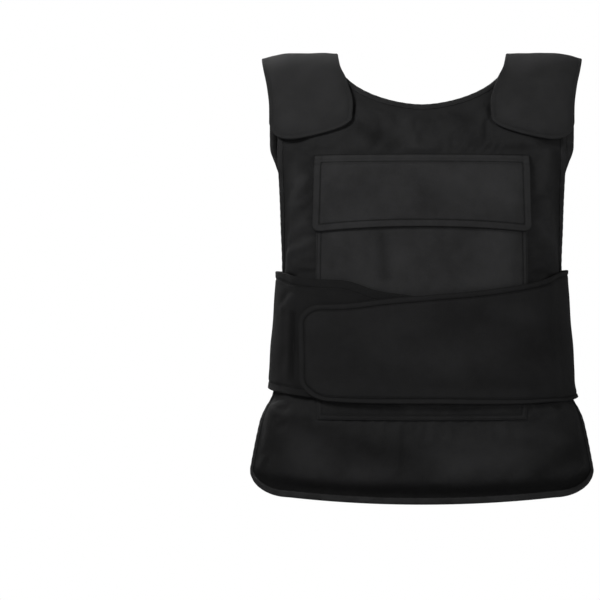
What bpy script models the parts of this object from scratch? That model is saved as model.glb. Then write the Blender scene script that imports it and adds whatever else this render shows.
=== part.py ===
"""Stab vest: two padded panels joined by shoulder straps and by flaps that wrap the waist.

The vest keeps the form it has when worn, with nothing in it. X runs across the body, -Y is
the front and Z is up. The origin lies midway between the shoulders, level with the underside
of the straps where they cross the shoulders. Lengths are metres.

Every piece is a sheet on one torso form: a stack of ovals that closes over the shoulders.
A piece has an outline on that form, a lift above it and a thickness of its own.
"""

import math

import bpy
import numpy as np


def columns(names, *rows):
    """Return a table as one array for each named column."""
    return dict(zip(names.split(), np.array(rows, float).T))


# The torso form that the inner faces follow
GIRTH_POWER = 2.4
SHOULDER_POWER = 1.8
CHEST_Z = -0.200
CREST_Z = -0.0085
CREST_SLOPE_START = 0.190
CREST_SLOPE_END = 0.245
CREST_SLOPE_DROP = 0.009
BODY_CENTRE = np.array((0.0, 0.0, -0.300))
TORSO = columns(
    "z half_width front_depth back_depth",
    (-0.650, 0.2590, 0.140, 0.116),
    (-0.600, 0.2555, 0.137, 0.114),
    (-0.541, 0.2412, 0.133, 0.110),
    (-0.525, 0.2335, 0.132, 0.109),
    (-0.512, 0.2248, 0.131, 0.108),
    (-0.500, 0.2162, 0.130, 0.108),
    (-0.484, 0.2110, 0.129, 0.107),
    (-0.455, 0.2092, 0.128, 0.106),
    (-0.425, 0.2072, 0.127, 0.106),
    (-0.396, 0.2038, 0.127, 0.106),
    (-0.353, 0.2010, 0.128, 0.107),
    (-0.310, 0.1996, 0.129, 0.109),
    (-0.250, 0.2140, 0.131, 0.113),
    (-0.200, 0.2340, 0.131, 0.114),
    (-0.150, 0.2560, 0.131, 0.114),
    (-0.100, 0.2780, 0.131, 0.114),
    (0.000, 0.3000, 0.131, 0.114),
)

# Padded panels
PANEL_THICKNESS = 0.0100
PANEL_RIM = 0.0045
PANEL_FLAT_RIM = 0.024
PANEL_FULL_AT = 0.055
TAB_THIN_Z = -0.050
TAB_FULL_Z = -0.130
TAB_TOP_Z = -0.034
NECK_ARC_Z = -0.018
NECK_HALF_WIDTH = 0.1195
NECK_FULLNESS = 1.14
FRONT_NECK_DEPTH = 0.0575
BACK_NECK_DEPTH = 0.0560
HEM_Z = -0.6442
HEM_RISE = 0.0097
HEM_CORNER_X = 0.190
HEM_CORNER_WIDTH = 0.053
HEM_CORNER_Z = -0.5986
HEM_CORNER_HEIGHT = 0.0359
PANEL_SIDE = columns(
    "z front back",
    (-0.5986, 0.2430, 0.2430),
    (-0.5410, 0.2315, 0.2315),
    (-0.5260, 0.2278, 0.2278),
    (-0.5120, 0.2215, 0.2215),
    (-0.4980, 0.2130, 0.2130),
    (-0.4760, 0.2068, 0.2068),
    (-0.4100, 0.2006, 0.2006),
    (-0.3500, 0.1970, 0.1970),
    (-0.2950, 0.1965, 0.1965),
    (-0.2500, 0.1985, 0.1985),
    (-0.2080, 0.2003, 0.2003),
    (-0.1800, 0.2018, 0.2016),
    (-0.1650, 0.2028, 0.2062),
    (-0.1500, 0.2036, 0.2115),
    (-0.1360, 0.2040, 0.2170),
    (-0.1200, 0.2040, 0.2180),
    (-0.0340, 0.2034, 0.2152),
)
PANEL_ROWS = 22
NECK_COLUMNS = 7
TAB_COLUMNS = 6
TAB_CROWDING = 1.5
RIM_CROWDING = 0.30

# Binding tape, folded over each panel's rim
TAPE_THICKNESS = 0.0012
TAPE_GAP = 0.0015
TAPE_COVER = 0.0060
SHARPEST_BEND = 0.6

# Shoulder straps
STRAP_THICKNESS = 0.0045
STRAP_LIFT_CREST = 0.0085
STRAP_LIFT_CHEST = 0.0108
STRAP_LOW_Z = -0.030
STRAP_HIGH_Z = -0.100
STRAP_MIDDLE = 0.170
STRAP_END_Z = -0.0945
STRAP_END_DIP = 0.0355
STRAP_END_INNER_ROUND = 0.42
STRAP_END_OUTER_ROUND = 8.0
STRAP_BACK_Z = -0.1500
STRAP_COLUMNS = 8
STRAP_ROWS = 15
STRAP_SIDES = columns(
    "z inner outer",
    (-0.1500, 0.0990, 0.2030),
    (-0.1250, 0.0990, 0.2115),
    (-0.0950, 0.0985, 0.2145),
    (-0.0710, 0.0985, 0.2162),
    (-0.0540, 0.1035, 0.2190),
    (-0.0400, 0.1087, 0.2218),
    (-0.0260, 0.1165, 0.2255),
    (0.0000, 0.1235, 0.2322),
)

# Pocket on the front panel
POCKET_HALF_WIDTH = 0.146
POCKET_TOP_Z = -0.165
POCKET_BOTTOM_Z = -0.5263
POCKET_LIFT = 0.0112
POCKET_THICKNESS = 0.0016
POCKET_COLUMNS = 7
POCKET_ROWS = 10
FLAP_HALF_WIDTH = 0.1515
FLAP_TOP_Z = -0.1464
FLAP_SIDE_Z = -0.2545
FLAP_MIDDLE_Z = -0.2480
FLAP_CORNER = 0.012
FLAP_LIFT = 0.0138
FLAP_THICKNESS = 0.0026
MOUTH_MARGIN = 0.002
FLAP_ROWS = 5
FLAP_FLAT_COLUMNS = 5
FLAP_CORNER_COLUMNS = 3

# Waist flaps
WAIST_THICKNESS = 0.0034
WAIST_LIFT_POCKET = 0.0140
WAIST_LIFT_OVER = 0.0183
WAIST_LIFT_SIDE = 0.0095
WAIST_LIFT_BACK = 0.0098
POCKET_STEP_START = 0.172
POCKET_STEP_END = 0.200
BACK_STEP_START = 0.325
BACK_STEP_END = 0.358
OVERLAP_STEP = 0.075
OVERLAP_MARGIN = 0.002
WRAP_FROM = 0.160
WRAP_LENGTH = 0.200
WRAP_TURN = math.radians(125.0)
WRAP_COLUMNS = 14
FRONT_SPACING = 0.020
WAIST_ROWS = 6
WAIST_CORNER_COLUMNS = 4
UNDER_TIP = -0.030
UNDER_CORNER = 0.010
UNDER_EDGES = columns(
    "reach top bottom",
    (-0.030, -0.3520, -0.5000),
    (0.024, -0.3450, -0.4990),
    (0.065, -0.3385, -0.4985),
    (0.100, -0.3260, -0.4980),
    (0.147, -0.3225, -0.4965),
    (0.173, -0.3190, -0.4930),
    (0.200, -0.3135, -0.4890),
    (0.240, -0.3110, -0.4850),
    (0.360, -0.3110, -0.4800),
)
OVER_TIP = -0.1645
OVER_CORNER_TOP = 0.029
OVER_CORNER_BOTTOM = 0.038
OVER_EDGES = columns(
    "reach top bottom",
    (-0.166, -0.3590, -0.5010),
    (-0.104, -0.3580, -0.5035),
    (-0.050, -0.3510, -0.5040),
    (0.015, -0.3450, -0.5040),
    (0.095, -0.3375, -0.5055),
    (0.155, -0.3270, -0.5065),
    (0.200, -0.3130, -0.5050),
    (0.240, -0.3095, -0.5010),
    (0.360, -0.3095, -0.4950),
)

# Finishes: colour, roughness
SHELL_CLOTH = ((0.024, 0.024, 0.025), 0.85)
FLAP_CLOTH = ((0.016, 0.016, 0.017), 0.90)
TAPE_CLOTH = ((0.020, 0.020, 0.021), 0.75)

FRONT = -1.0
BACK = 1.0


def read(table, name, at):
    """Read a column at the given places, by cubics through the table's rows."""
    place = next(iter(table.values()))
    value = table[name]
    slope = np.gradient(value, place)
    at = np.clip(at, place[0], place[-1])
    row = np.clip(np.searchsorted(place, at) - 1, 0, len(place) - 2)
    span = place[row + 1] - place[row]
    part = (at - place[row]) / span
    rest = 1.0 - part
    return (
        rest * rest * (1.0 + 2.0 * part) * value[row]
        + part * part * (3.0 - 2.0 * part) * value[row + 1]
        + part * rest * span * (rest * slope[row] - part * slope[row + 1])
    )


def ease(value, start, end):
    """Rise smoothly from 0 at start to 1 at end."""
    part = np.clip((value - start) / (end - start), 0.0, 1.0)
    return part * part * (3.0 - 2.0 * part)


def crest(x):
    """Height of the shoulder's crest, which falls away towards the arm."""
    return CREST_Z - CREST_SLOPE_DROP * ease(np.abs(x), CREST_SLOPE_START, CREST_SLOPE_END)


def oval(turn, power):
    """Sine and cosine of a turn, pushed out to a superellipse of that power."""
    sine, cosine = np.sin(turn), np.cos(turn)
    radius = (np.abs(sine) ** power + np.abs(cosine) ** power) ** (-1.0 / power)
    return radius * sine, radius * cosine


def oval_turn(share, power):
    """The turn whose oval sine is the given share of the half width."""
    share = np.clip(share, -0.999, 0.999)
    return np.arctan2(share, (1.0 - np.abs(share) ** power) ** (1.0 / power))


def torso(turn, z):
    """Point of the form at a turn from the middle of the front and at a height."""
    across, ahead = oval(turn, GIRTH_POWER)
    x = read(TORSO, "half_width", z) * across
    climb = np.clip((z - CHEST_Z) / (crest(x) - CHEST_Z), 0.0, 1.0)
    closing = (1.0 - climb ** SHOULDER_POWER) ** (1.0 / SHOULDER_POWER)
    level = np.minimum(z, CHEST_Z)
    depth = np.where(ahead > 0.0, read(TORSO, "front_depth", level), read(TORSO, "back_depth", level))
    return np.stack((x, -depth * closing * ahead, z + 0.0 * x), axis=-1)


def shoulder(x, climb):
    """Point of the form at x and at a climb angle: 0 chest, quarter turn crest, half turn back."""
    rise, ahead = oval(climb, SHOULDER_POWER)
    z = CHEST_Z + rise * (crest(x) - CHEST_Z)
    share = np.abs(x) / read(TORSO, "half_width", z)
    closing = (1.0 - share ** GIRTH_POWER) ** (1.0 / GIRTH_POWER)
    depth = np.where(ahead > 0.0, read(TORSO, "front_depth", CHEST_Z), read(TORSO, "back_depth", CHEST_Z))
    return np.stack((x + 0.0 * z, -depth * closing * ahead, z), axis=-1)


def turn_at(x, z, side):
    """Turn on the form of a point given by x and height, on the front or the back."""
    turn = oval_turn(x / read(TORSO, "half_width", z), GIRTH_POWER)
    return turn if side == FRONT else np.where(x < 0.0, -math.pi, math.pi) - turn


def normals(surface, first, second):
    """Unit normals of a surface, pointing away from the body."""
    step = 1e-5
    here = surface(first, second)
    along_first = surface(first + step, second) - surface(first - step, second)
    along_second = surface(first, second + step) - surface(first, second - step)
    normal = np.cross(along_first, along_second)
    normal /= np.linalg.norm(normal, axis=-1, keepdims=True)
    facing = np.sign(np.sum(normal * (here - BODY_CENTRE), axis=-1, keepdims=True))
    return normal * facing


def lifted(surface, first, second, lift):
    """Points of a surface raised by lift along its outward normals."""
    return surface(first, second) + np.asarray(lift)[..., None] * normals(surface, first, second)


def new_object(name, points, faces, material, collection):
    """Make a smooth mesh object from points and faces."""
    points = np.asarray(points, float).reshape(-1, 3)
    mesh = bpy.data.meshes.new(name)
    mesh.from_pydata(points.tolist(), [], np.asarray(faces).tolist())
    mesh.update()
    mesh.shade_smooth()
    mesh.materials.append(material)
    made = bpy.data.objects.new(name, mesh)
    collection.objects.link(made)
    return made


def quads(rows, cols, closed=False):
    """Faces of a grid of points; a closed grid joins its last column to its first."""
    index = np.arange(rows * cols).reshape(rows, cols)
    if closed:
        index = np.concatenate((index, index[:, :1]), axis=1)
    return np.stack((index[:-1, :-1], index[:-1, 1:], index[1:, 1:], index[1:, :-1]), axis=-1).reshape(-1, 4)


def add_mirror(made):
    """Mirror a half piece across the middle of the body."""
    mirror = made.modifiers.new("Mirror", "MIRROR")
    mirror.use_axis = (True, False, False)
    mirror.use_mirror_merge = True
    mirror.merge_threshold = 0.0001


def sheet(name, grid, thickness, material, collection, mirrored=False, padding=None):
    """Make a wall from a grid of inner points; padding scales its thickness at each point."""
    rows, cols = grid.shape[:2]
    faces = quads(rows, cols)
    middle = grid[rows // 2, cols // 2]
    across = grid[rows // 2, cols // 2 + 1] - middle
    up = grid[rows // 2 + 1, cols // 2] - middle
    if np.dot(np.cross(across, up), middle - BODY_CENTRE) < 0.0:
        faces = faces[:, ::-1]
    made = new_object(name, grid, faces, material, collection)
    if mirrored:
        add_mirror(made)
    wall = made.modifiers.new("Wall", "SOLIDIFY")
    wall.thickness = thickness
    wall.offset = 1.0
    if padding is not None:
        group = made.vertex_groups.new(name="padding")
        for index, share in enumerate(padding.reshape(-1).tolist()):
            group.add([index], share, "REPLACE")
        wall.vertex_group = "padding"
    return made


def hem_height(x):
    """Height of the hem at x: a shallow arc, then the round lower corner."""
    arc = HEM_Z + HEM_RISE * (x / HEM_CORNER_X) ** 2
    share = np.clip((x - HEM_CORNER_X) / HEM_CORNER_WIDTH, 0.0, 1.0)
    corner = HEM_CORNER_Z - HEM_CORNER_HEIGHT * np.sqrt(1.0 - share * share)
    return np.where(x < HEM_CORNER_X, arc, corner)


def side_edge(label, z):
    """Half width of a panel at a height, with the round corner below the table."""
    share = np.clip((HEM_CORNER_Z - z) / HEM_CORNER_HEIGHT, 0.0, 1.0)
    corner = HEM_CORNER_X + HEM_CORNER_WIDTH * np.sqrt(1.0 - share * share)
    return np.where(z < HEM_CORNER_Z, corner, read(PANEL_SIDE, label, z))


def panel_outline_grid(label, neck_depth):
    """Fill half a panel's outline with rows and columns of x and z.

    The four edges are the hem, the side, the neck with the tab's top, and the middle. Each
    inner point blends the two edges beside it, as on a Coons patch.
    """
    neck_end = math.acos(((NECK_ARC_Z - TAB_TOP_Z) / neck_depth) ** (1.0 / NECK_FULLNESS))
    swing = np.linspace(0.0, neck_end, NECK_COLUMNS + 1)
    neck_x = NECK_HALF_WIDTH * np.sin(swing) ** NECK_FULLNESS
    neck_z = NECK_ARC_Z - neck_depth * np.cos(swing) ** NECK_FULLNESS
    crowd = 1.0 - (1.0 - np.linspace(0.0, 1.0, TAB_COLUMNS + 1)[1:]) ** TAB_CROWDING
    tab_end = side_edge(label, TAB_TOP_Z)
    tab_x = neck_x[-1] + (tab_end - neck_x[-1]) * crowd
    top_x = np.concatenate((neck_x, tab_x))
    top_z = np.concatenate((neck_z, np.full(TAB_COLUMNS, TAB_TOP_Z)))

    corner_x = HEM_CORNER_X + HEM_CORNER_WIDTH * math.sqrt(0.5)
    across = top_x / tab_end
    low_x = corner_x * across
    low_z = hem_height(low_x)

    up = np.linspace(0.0, 1.0, PANEL_ROWS + 1)
    up = up - RIM_CROWDING * np.sin(2.0 * math.pi * up) / (2.0 * math.pi)
    side_z = low_z[-1] + up * (TAB_TOP_Z - low_z[-1])
    side_x = side_edge(label, side_z)
    middle_z = low_z[0] + up * (top_z[0] - low_z[0])

    across, up = across[None, :], up[:, None]
    x = (1 - up) * low_x + up * top_x + across * side_x[:, None]
    x -= across * ((1 - up) * low_x[-1] + up * top_x[-1])
    z = (1 - up) * low_z + up * top_z + (1 - across) * middle_z[:, None] + across * side_z[:, None]
    z -= (1 - up) * ((1 - across) * low_z[0] + across * low_z[-1])
    z -= up * ((1 - across) * top_z[0] + across * top_z[-1])
    return x, z


def panel(label, side, neck_depth, material, collection):
    """Make a padded panel, thin at its rim and on its shoulder tabs.

    Return half of its rim, hem to neck, and the step from each rim point to its inner neighbour.
    """
    x, z = panel_outline_grid(label, neck_depth)
    turn = turn_at(x, z, side)
    inner = torso(turn, z)
    rim = np.concatenate((inner[0], inner[1:, -1], inner[-1, -2::-1]))
    reach = np.linalg.norm(inner[:, :, None] - rim[None, None], axis=-1).min(axis=-1)
    share = ease(reach, PANEL_FLAT_RIM, PANEL_FULL_AT) * ease(-z, -TAB_THIN_Z, -TAB_FULL_Z)
    padding = (PANEL_RIM + (PANEL_THICKNESS - PANEL_RIM) * share) / PANEL_THICKNESS
    name = label + "_panel"
    sheet(name, inner, PANEL_THICKNESS, material, collection, mirrored=True, padding=padding)
    side_step = inner[1:-1, -2] - inner[1:-1, -1]
    low_step = np.concatenate((inner[1, :-1] - inner[0, :-1], inner[1:2, -2] - inner[0:1, -1]))
    high_step = np.concatenate((inner[-2, :-1] - inner[-1, :-1], inner[-2:-1, -2] - inner[-1:, -1]))
    return rim, np.concatenate((low_step, side_step, high_step[::-1]))


def unit(vectors):
    """Scale vectors to length one."""
    return vectors / np.linalg.norm(vectors, axis=-1, keepdims=True)


def binding(name, side, rim, inward, material, collection):
    """Make the tape round a panel: a U folded over the rim, carried along half of it."""
    before = np.concatenate((rim[1:2] * (-1, 1, 1), rim[:-1]))
    after = np.concatenate((rim[1:], rim[-2:-1] * (-1, 1, 1)))
    doubled = unit(rim - before) + unit(after - rim)
    bend = np.linalg.norm(doubled, axis=-1, keepdims=True) / 2.0
    tangent = unit(doubled)
    outward = unit(np.sum(inward * tangent, axis=-1, keepdims=True) * tangent - inward)
    face = -side * unit(np.cross(outward, tangent))
    outward = outward / np.maximum(bend, SHARPEST_BEND)

    near, far = TAPE_GAP, TAPE_GAP + TAPE_THICKNESS
    section = np.array((
        (-TAPE_COVER, -far),
        (far, -far),
        (far, PANEL_RIM + far),
        (-TAPE_COVER, PANEL_RIM + far),
        (-TAPE_COVER, PANEL_RIM + near),
        (near, PANEL_RIM + near),
        (near, -near),
        (-TAPE_COVER, -near),
    ))
    grid = rim[:, None] + section[None, :, :1] * outward[:, None] + section[None, :, 1:] * face[:, None]
    grid[[0, -1], :, 0] = 0.0
    faces = quads(len(rim), len(section), closed=True)
    if side == FRONT:
        faces = faces[:, ::-1]
    add_mirror(new_object(name, grid, faces, material, collection))


def shoulder_strap(name, hand, material, collection):
    """Make a strap from its rounded front end over the shoulder to the back panel."""
    across = (1.0 - np.cos(np.linspace(0.0, math.pi, STRAP_COLUMNS + 1))) / 2.0
    end = across ** STRAP_END_INNER_ROUND * np.sqrt(1.0 - across ** STRAP_END_OUTER_ROUND)
    end_z = STRAP_END_Z - STRAP_END_DIP * end
    scale = crest(STRAP_MIDDLE) - CHEST_Z
    start = oval_turn((end_z - CHEST_Z) / scale, SHOULDER_POWER)
    finish = math.pi - oval_turn((STRAP_BACK_Z - CHEST_Z) / scale, SHOULDER_POWER)
    along = np.linspace(0.0, 1.0, STRAP_ROWS + 1)[:, None]
    climb = start + along * (finish - start)
    height = CHEST_Z + oval(climb, SHOULDER_POWER)[0] * scale
    inner = read(STRAP_SIDES, "inner", height)
    outer = read(STRAP_SIDES, "outer", height)
    x = hand * (inner + (outer - inner) * across)
    low = ease(-height, -STRAP_LOW_Z, -STRAP_HIGH_Z)
    lift = STRAP_LIFT_CREST + (STRAP_LIFT_CHEST - STRAP_LIFT_CREST) * low
    grid = lifted(shoulder, x, climb, lift)
    sheet(name, grid, STRAP_THICKNESS, material, collection)


def pocket_body(material, collection):
    """Make the flat pocket that is sewn to the front panel."""
    x = np.linspace(0.0, POCKET_HALF_WIDTH, POCKET_COLUMNS + 1)[None, :]
    z = np.linspace(POCKET_BOTTOM_Z, POCKET_TOP_Z, POCKET_ROWS + 1)[:, None]
    x, z = np.broadcast_arrays(x, z)
    grid = lifted(torso, turn_at(x, z, FRONT), z, np.full(x.shape, POCKET_LIFT))
    sheet("pocket_body", grid, POCKET_THICKNESS, material, collection, mirrored=True)


def pocket_flap(material, collection):
    """Make the flap over the pocket's mouth, with its lower edge arched and its corners round."""
    flat = np.linspace(0.0, FLAP_HALF_WIDTH - FLAP_CORNER, FLAP_FLAT_COLUMNS + 1)
    swing = np.linspace(0.0, math.pi / 2.0, FLAP_CORNER_COLUMNS + 1)[1:]
    x = np.concatenate((flat, FLAP_HALF_WIDTH - FLAP_CORNER * (1.0 - np.sin(swing))))
    low = FLAP_MIDDLE_Z + (FLAP_SIDE_Z - FLAP_MIDDLE_Z) * (x / FLAP_HALF_WIDTH) ** 2
    low[-FLAP_CORNER_COLUMNS:] += FLAP_CORNER * (1.0 - np.cos(swing))
    up = np.linspace(0.0, 1.0, FLAP_ROWS + 1)[:, None]
    z = low + up * (FLAP_TOP_Z - low)
    x = np.broadcast_to(x, z.shape)
    lift = FLAP_LIFT - (FLAP_LIFT - POCKET_LIFT) * ease(z, POCKET_TOP_Z + MOUTH_MARGIN, FLAP_TOP_Z)
    grid = lifted(torso, turn_at(x, z, FRONT), z, lift)
    sheet("pocket_flap", grid, FLAP_THICKNESS, material, collection, mirrored=True)


def under_lift(reach):
    """Lift of the under flap: close at the side, higher on the pocket and on the padded back."""
    on_pocket = ease(-reach, -POCKET_STEP_END, -POCKET_STEP_START)
    on_back = ease(reach, BACK_STEP_START, BACK_STEP_END)
    lift = WAIST_LIFT_SIDE + (WAIST_LIFT_POCKET - WAIST_LIFT_SIDE) * on_pocket
    return lift + (WAIST_LIFT_BACK - WAIST_LIFT_SIDE) * on_back


def over_lift(reach):
    """Lift of the over flap: as the under flap, and a step higher where it lies on that flap."""
    on_flap = ease(-reach, UNDER_TIP - OVERLAP_STEP, UNDER_TIP - OVERLAP_MARGIN)
    return under_lift(reach) * (1.0 - on_flap) + WAIST_LIFT_OVER * on_flap


def waist_flap(name, hand, tip, edges, corner_top, corner_bottom, lift_at, material, collection):
    """Make a flap from its rounded tip on the front, round one side, on to the back panel.

    Columns follow x on the front and the form's turn round the side. The reach of a column is
    its distance from the middle of the front, counted towards the flap's own side.
    """
    corner = max(corner_top, corner_bottom)
    swing = np.linspace(0.0, math.pi / 2.0, WAIST_CORNER_COLUMNS + 1)
    rounded = tip + corner * (1.0 - np.cos(swing))
    count = round((WRAP_FROM - rounded[-1]) / FRONT_SPACING)
    front = np.concatenate((rounded, np.linspace(rounded[-1], WRAP_FROM, count + 1)[1:]))
    wrap = np.linspace(0.0, 1.0, WRAP_COLUMNS + 1)[1:]
    reach = np.concatenate((front, WRAP_FROM + WRAP_LENGTH * wrap))

    from_tip = reach - tip
    top = read(edges, "top", reach)
    bottom = read(edges, "bottom", reach)
    for radius, edge, way in ((corner_top, top, -1.0), (corner_bottom, bottom, 1.0)):
        share = np.clip(1.0 - from_tip / radius, 0.0, 1.0)
        edge += way * radius * (1.0 - np.sqrt(1.0 - share * share))

    up = np.linspace(0.0, 1.0, WAIST_ROWS + 1)[:, None]
    z = bottom + up * (top - bottom)
    front_x = np.minimum(reach, WRAP_FROM) * np.ones_like(z)
    turn = turn_at(front_x, z, FRONT)
    share = np.clip((reach - WRAP_FROM) / WRAP_LENGTH, 0.0, 1.0)
    turn = turn + share * (WRAP_TURN - turn)
    grid = lifted(torso, hand * turn, z, lift_at(reach))
    sheet(name, grid, WAIST_THICKNESS, material, collection)


def cloth(name, colour, roughness):
    """Make a plain cloth material."""
    material = bpy.data.materials.new(name)
    material.use_nodes = True
    shader = material.node_tree.nodes["Principled BSDF"]
    shader.inputs["Base Color"].default_value = (*colour, 1.0)
    shader.inputs["Roughness"].default_value = roughness
    shader.inputs["Metallic"].default_value = 0.0
    material.diffuse_color = (*colour, 1.0)
    return material


def main():
    """Clear the scene and build the vest."""
    for item in list(bpy.data.objects):
        bpy.data.objects.remove(item)
    vest = bpy.data.collections.new("stab_vest")
    bpy.context.scene.collection.children.link(vest)
    shell = cloth("shell", *SHELL_CLOTH)
    flap = cloth("flap", *FLAP_CLOTH)
    tape = cloth("tape", *TAPE_CLOTH)

    for label, side, neck_depth in (("front", FRONT, FRONT_NECK_DEPTH), ("back", BACK, BACK_NECK_DEPTH)):
        rim, inward = panel(label, side, neck_depth, shell, vest)
        binding(label + "_binding", side, rim, inward, tape, vest)
    shoulder_strap("shoulder_strap_right", -1.0, shell, vest)
    shoulder_strap("shoulder_strap_left", 1.0, shell, vest)
    pocket_body(shell, vest)
    pocket_flap(shell, vest)
    waist_flap(
        "waist_flap_under", -1.0, UNDER_TIP, UNDER_EDGES, UNDER_CORNER, UNDER_CORNER,
        under_lift, flap, vest,
    )
    waist_flap(
        "waist_flap_over", 1.0, OVER_TIP, OVER_EDGES, OVER_CORNER_TOP, OVER_CORNER_BOTTOM,
        over_lift, flap, vest,
    )


main()
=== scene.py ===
"""Stab vest, dressed: padded panels, straps, pocket, waist flaps, tapes and stitches.

Every piece is cloth on one torso form. A piece has a flat layout of its own, a lift above the
form and an edge that closes it, and its seams are pressed into that height. Lengths are metres.
"""

import math

import bpy
import numpy as np
from bpy.props import FloatProperty, FloatVectorProperty, PointerProperty
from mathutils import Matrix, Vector


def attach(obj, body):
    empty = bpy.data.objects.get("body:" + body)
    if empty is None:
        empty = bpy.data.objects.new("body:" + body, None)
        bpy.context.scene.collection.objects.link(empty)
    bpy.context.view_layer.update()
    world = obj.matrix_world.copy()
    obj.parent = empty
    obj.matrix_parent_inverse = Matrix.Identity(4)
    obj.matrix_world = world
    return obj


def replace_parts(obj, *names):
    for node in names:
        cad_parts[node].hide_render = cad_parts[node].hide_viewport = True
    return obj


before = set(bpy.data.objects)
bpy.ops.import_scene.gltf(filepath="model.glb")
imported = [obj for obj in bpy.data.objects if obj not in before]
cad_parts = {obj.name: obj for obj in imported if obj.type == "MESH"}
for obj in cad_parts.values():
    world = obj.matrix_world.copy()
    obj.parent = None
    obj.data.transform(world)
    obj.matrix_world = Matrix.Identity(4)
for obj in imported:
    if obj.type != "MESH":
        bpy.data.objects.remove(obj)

bl_info = {
    "name": "Stab vest",
    "version": (1, 0, 0),
    "blender": (4, 5, 0),
    "location": "3D View > Sidebar > Vest",
    "description": "Makes the cloth, seams and finishes of a stab vest",
    "category": "Add Mesh",
}


def columns(names, *rows):
    """Return a table as one array for each named column."""
    return dict(zip(names.split(), np.array(rows, float).T))


# The torso form that the inner faces follow
GIRTH_POWER = 2.4
SHOULDER_POWER = 1.8
CHEST_Z = -0.200
CREST_Z = -0.0085
CREST_SLOPE_START = 0.190
CREST_SLOPE_END = 0.245
CREST_SLOPE_DROP = 0.009
BODY_CENTRE = np.array((0.0, 0.0, -0.300))
TORSO = columns(
    "z half_width front_depth back_depth",
    (-0.650, 0.2590, 0.140, 0.116),
    (-0.600, 0.2555, 0.137, 0.114),
    (-0.541, 0.2412, 0.133, 0.110),
    (-0.525, 0.2335, 0.132, 0.109),
    (-0.512, 0.2248, 0.131, 0.108),
    (-0.500, 0.2162, 0.130, 0.108),
    (-0.484, 0.2110, 0.129, 0.107),
    (-0.455, 0.2092, 0.128, 0.106),
    (-0.425, 0.2072, 0.127, 0.106),
    (-0.396, 0.2038, 0.127, 0.106),
    (-0.353, 0.2010, 0.128, 0.107),
    (-0.310, 0.1996, 0.129, 0.109),
    (-0.250, 0.2140, 0.131, 0.113),
    (-0.200, 0.2340, 0.131, 0.114),
    (-0.150, 0.2560, 0.131, 0.114),
    (-0.100, 0.2780, 0.131, 0.114),
    (0.000, 0.3000, 0.131, 0.114),
)

# Padded panels
PANEL_RIM = 0.0045
TAB_THIN_Z = -0.050
TAB_FULL_Z = -0.130
TAB_TOP_Z = -0.034
TAB_CORNER = 0.008
NECK_ARC_Z = -0.018
NECK_HALF_WIDTH = 0.1195
NECK_FULLNESS = 1.14
NECK_DEPTH = {"front": 0.0575, "back": 0.0560}
HEM_Z = -0.6442
HEM_RISE = 0.0097
HEM_CORNER_X = 0.190
HEM_CORNER_WIDTH = 0.053
HEM_CORNER_Z = -0.5986
HEM_CORNER_HEIGHT = 0.0359
PANEL_SIDE = columns(
    "z front back",
    (-0.5986, 0.2430, 0.2430),
    (-0.5410, 0.2315, 0.2315),
    (-0.5260, 0.2278, 0.2278),
    (-0.5120, 0.2215, 0.2215),
    (-0.4980, 0.2130, 0.2130),
    (-0.4760, 0.2068, 0.2068),
    (-0.4100, 0.2006, 0.2006),
    (-0.3500, 0.1970, 0.1970),
    (-0.2950, 0.1965, 0.1965),
    (-0.2500, 0.1985, 0.1985),
    (-0.2080, 0.2003, 0.2003),
    (-0.1800, 0.2018, 0.2016),
    (-0.1650, 0.2028, 0.2062),
    (-0.1500, 0.2036, 0.2115),
    (-0.1360, 0.2040, 0.2170),
    (-0.1200, 0.2040, 0.2180),
    (-0.0340, 0.2034, 0.2152),
)

# Shoulder straps
STRAP_THICKNESS = 0.0045
STRAP_LIFT_CREST = 0.0085
STRAP_LIFT_CHEST = 0.0108
STRAP_LOW_Z = -0.030
STRAP_HIGH_Z = -0.100
STRAP_MIDDLE = 0.170
STRAP_END_Z = -0.0945
STRAP_END_DIP = 0.0355
STRAP_END_INNER_ROUND = 0.42
STRAP_END_OUTER_ROUND = 8.0
STRAP_BACK_Z = -0.1500
STRAP_SIDES = columns(
    "z inner outer",
    (-0.1500, 0.0990, 0.2030),
    (-0.1250, 0.0990, 0.2115),
    (-0.0950, 0.0985, 0.2145),
    (-0.0710, 0.0985, 0.2162),
    (-0.0540, 0.1035, 0.2190),
    (-0.0400, 0.1087, 0.2218),
    (-0.0260, 0.1165, 0.2255),
    (0.0000, 0.1235, 0.2322),
)

# Pocket and its flap
POCKET_HALF_WIDTH = 0.146
POCKET_TOP_Z = -0.165
POCKET_BOTTOM_Z = -0.5263
POCKET_LIFT = 0.0112
POCKET_THICKNESS = 0.0016
FLAP_HALF_WIDTH = 0.1515
FLAP_TOP_Z = -0.1464
FLAP_SIDE_Z = -0.2545
FLAP_MIDDLE_Z = -0.2480
FLAP_CORNER = 0.012
FLAP_LIFT = 0.0138
FLAP_THICKNESS = 0.0026
MOUTH_MARGIN = 0.002

# Waist flaps
WAIST_THICKNESS = 0.0034
WAIST_LIFT_POCKET = 0.0140
WAIST_LIFT_OVER = 0.0183
WAIST_LIFT_SIDE = 0.0095
WAIST_LIFT_BACK = 0.0098
POCKET_STEP_START = 0.172
POCKET_STEP_END = 0.200
BACK_STEP_START = 0.325
BACK_STEP_END = 0.358
OVERLAP_STEP = 0.075
OVERLAP_MARGIN = 0.002
WRAP_FROM = 0.160
WRAP_LENGTH = 0.200
WRAP_TURN = math.radians(125.0)
UNDER_TIP = -0.030
UNDER_CORNER = 0.010
UNDER_EDGES = columns(
    "reach top bottom",
    (-0.030, -0.3520, -0.5000),
    (0.024, -0.3450, -0.4990),
    (0.065, -0.3385, -0.4985),
    (0.100, -0.3260, -0.4980),
    (0.147, -0.3225, -0.4965),
    (0.173, -0.3190, -0.4930),
    (0.200, -0.3135, -0.4890),
    (0.240, -0.3110, -0.4850),
    (0.360, -0.3110, -0.4800),
)
OVER_TIP = -0.1645
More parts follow.
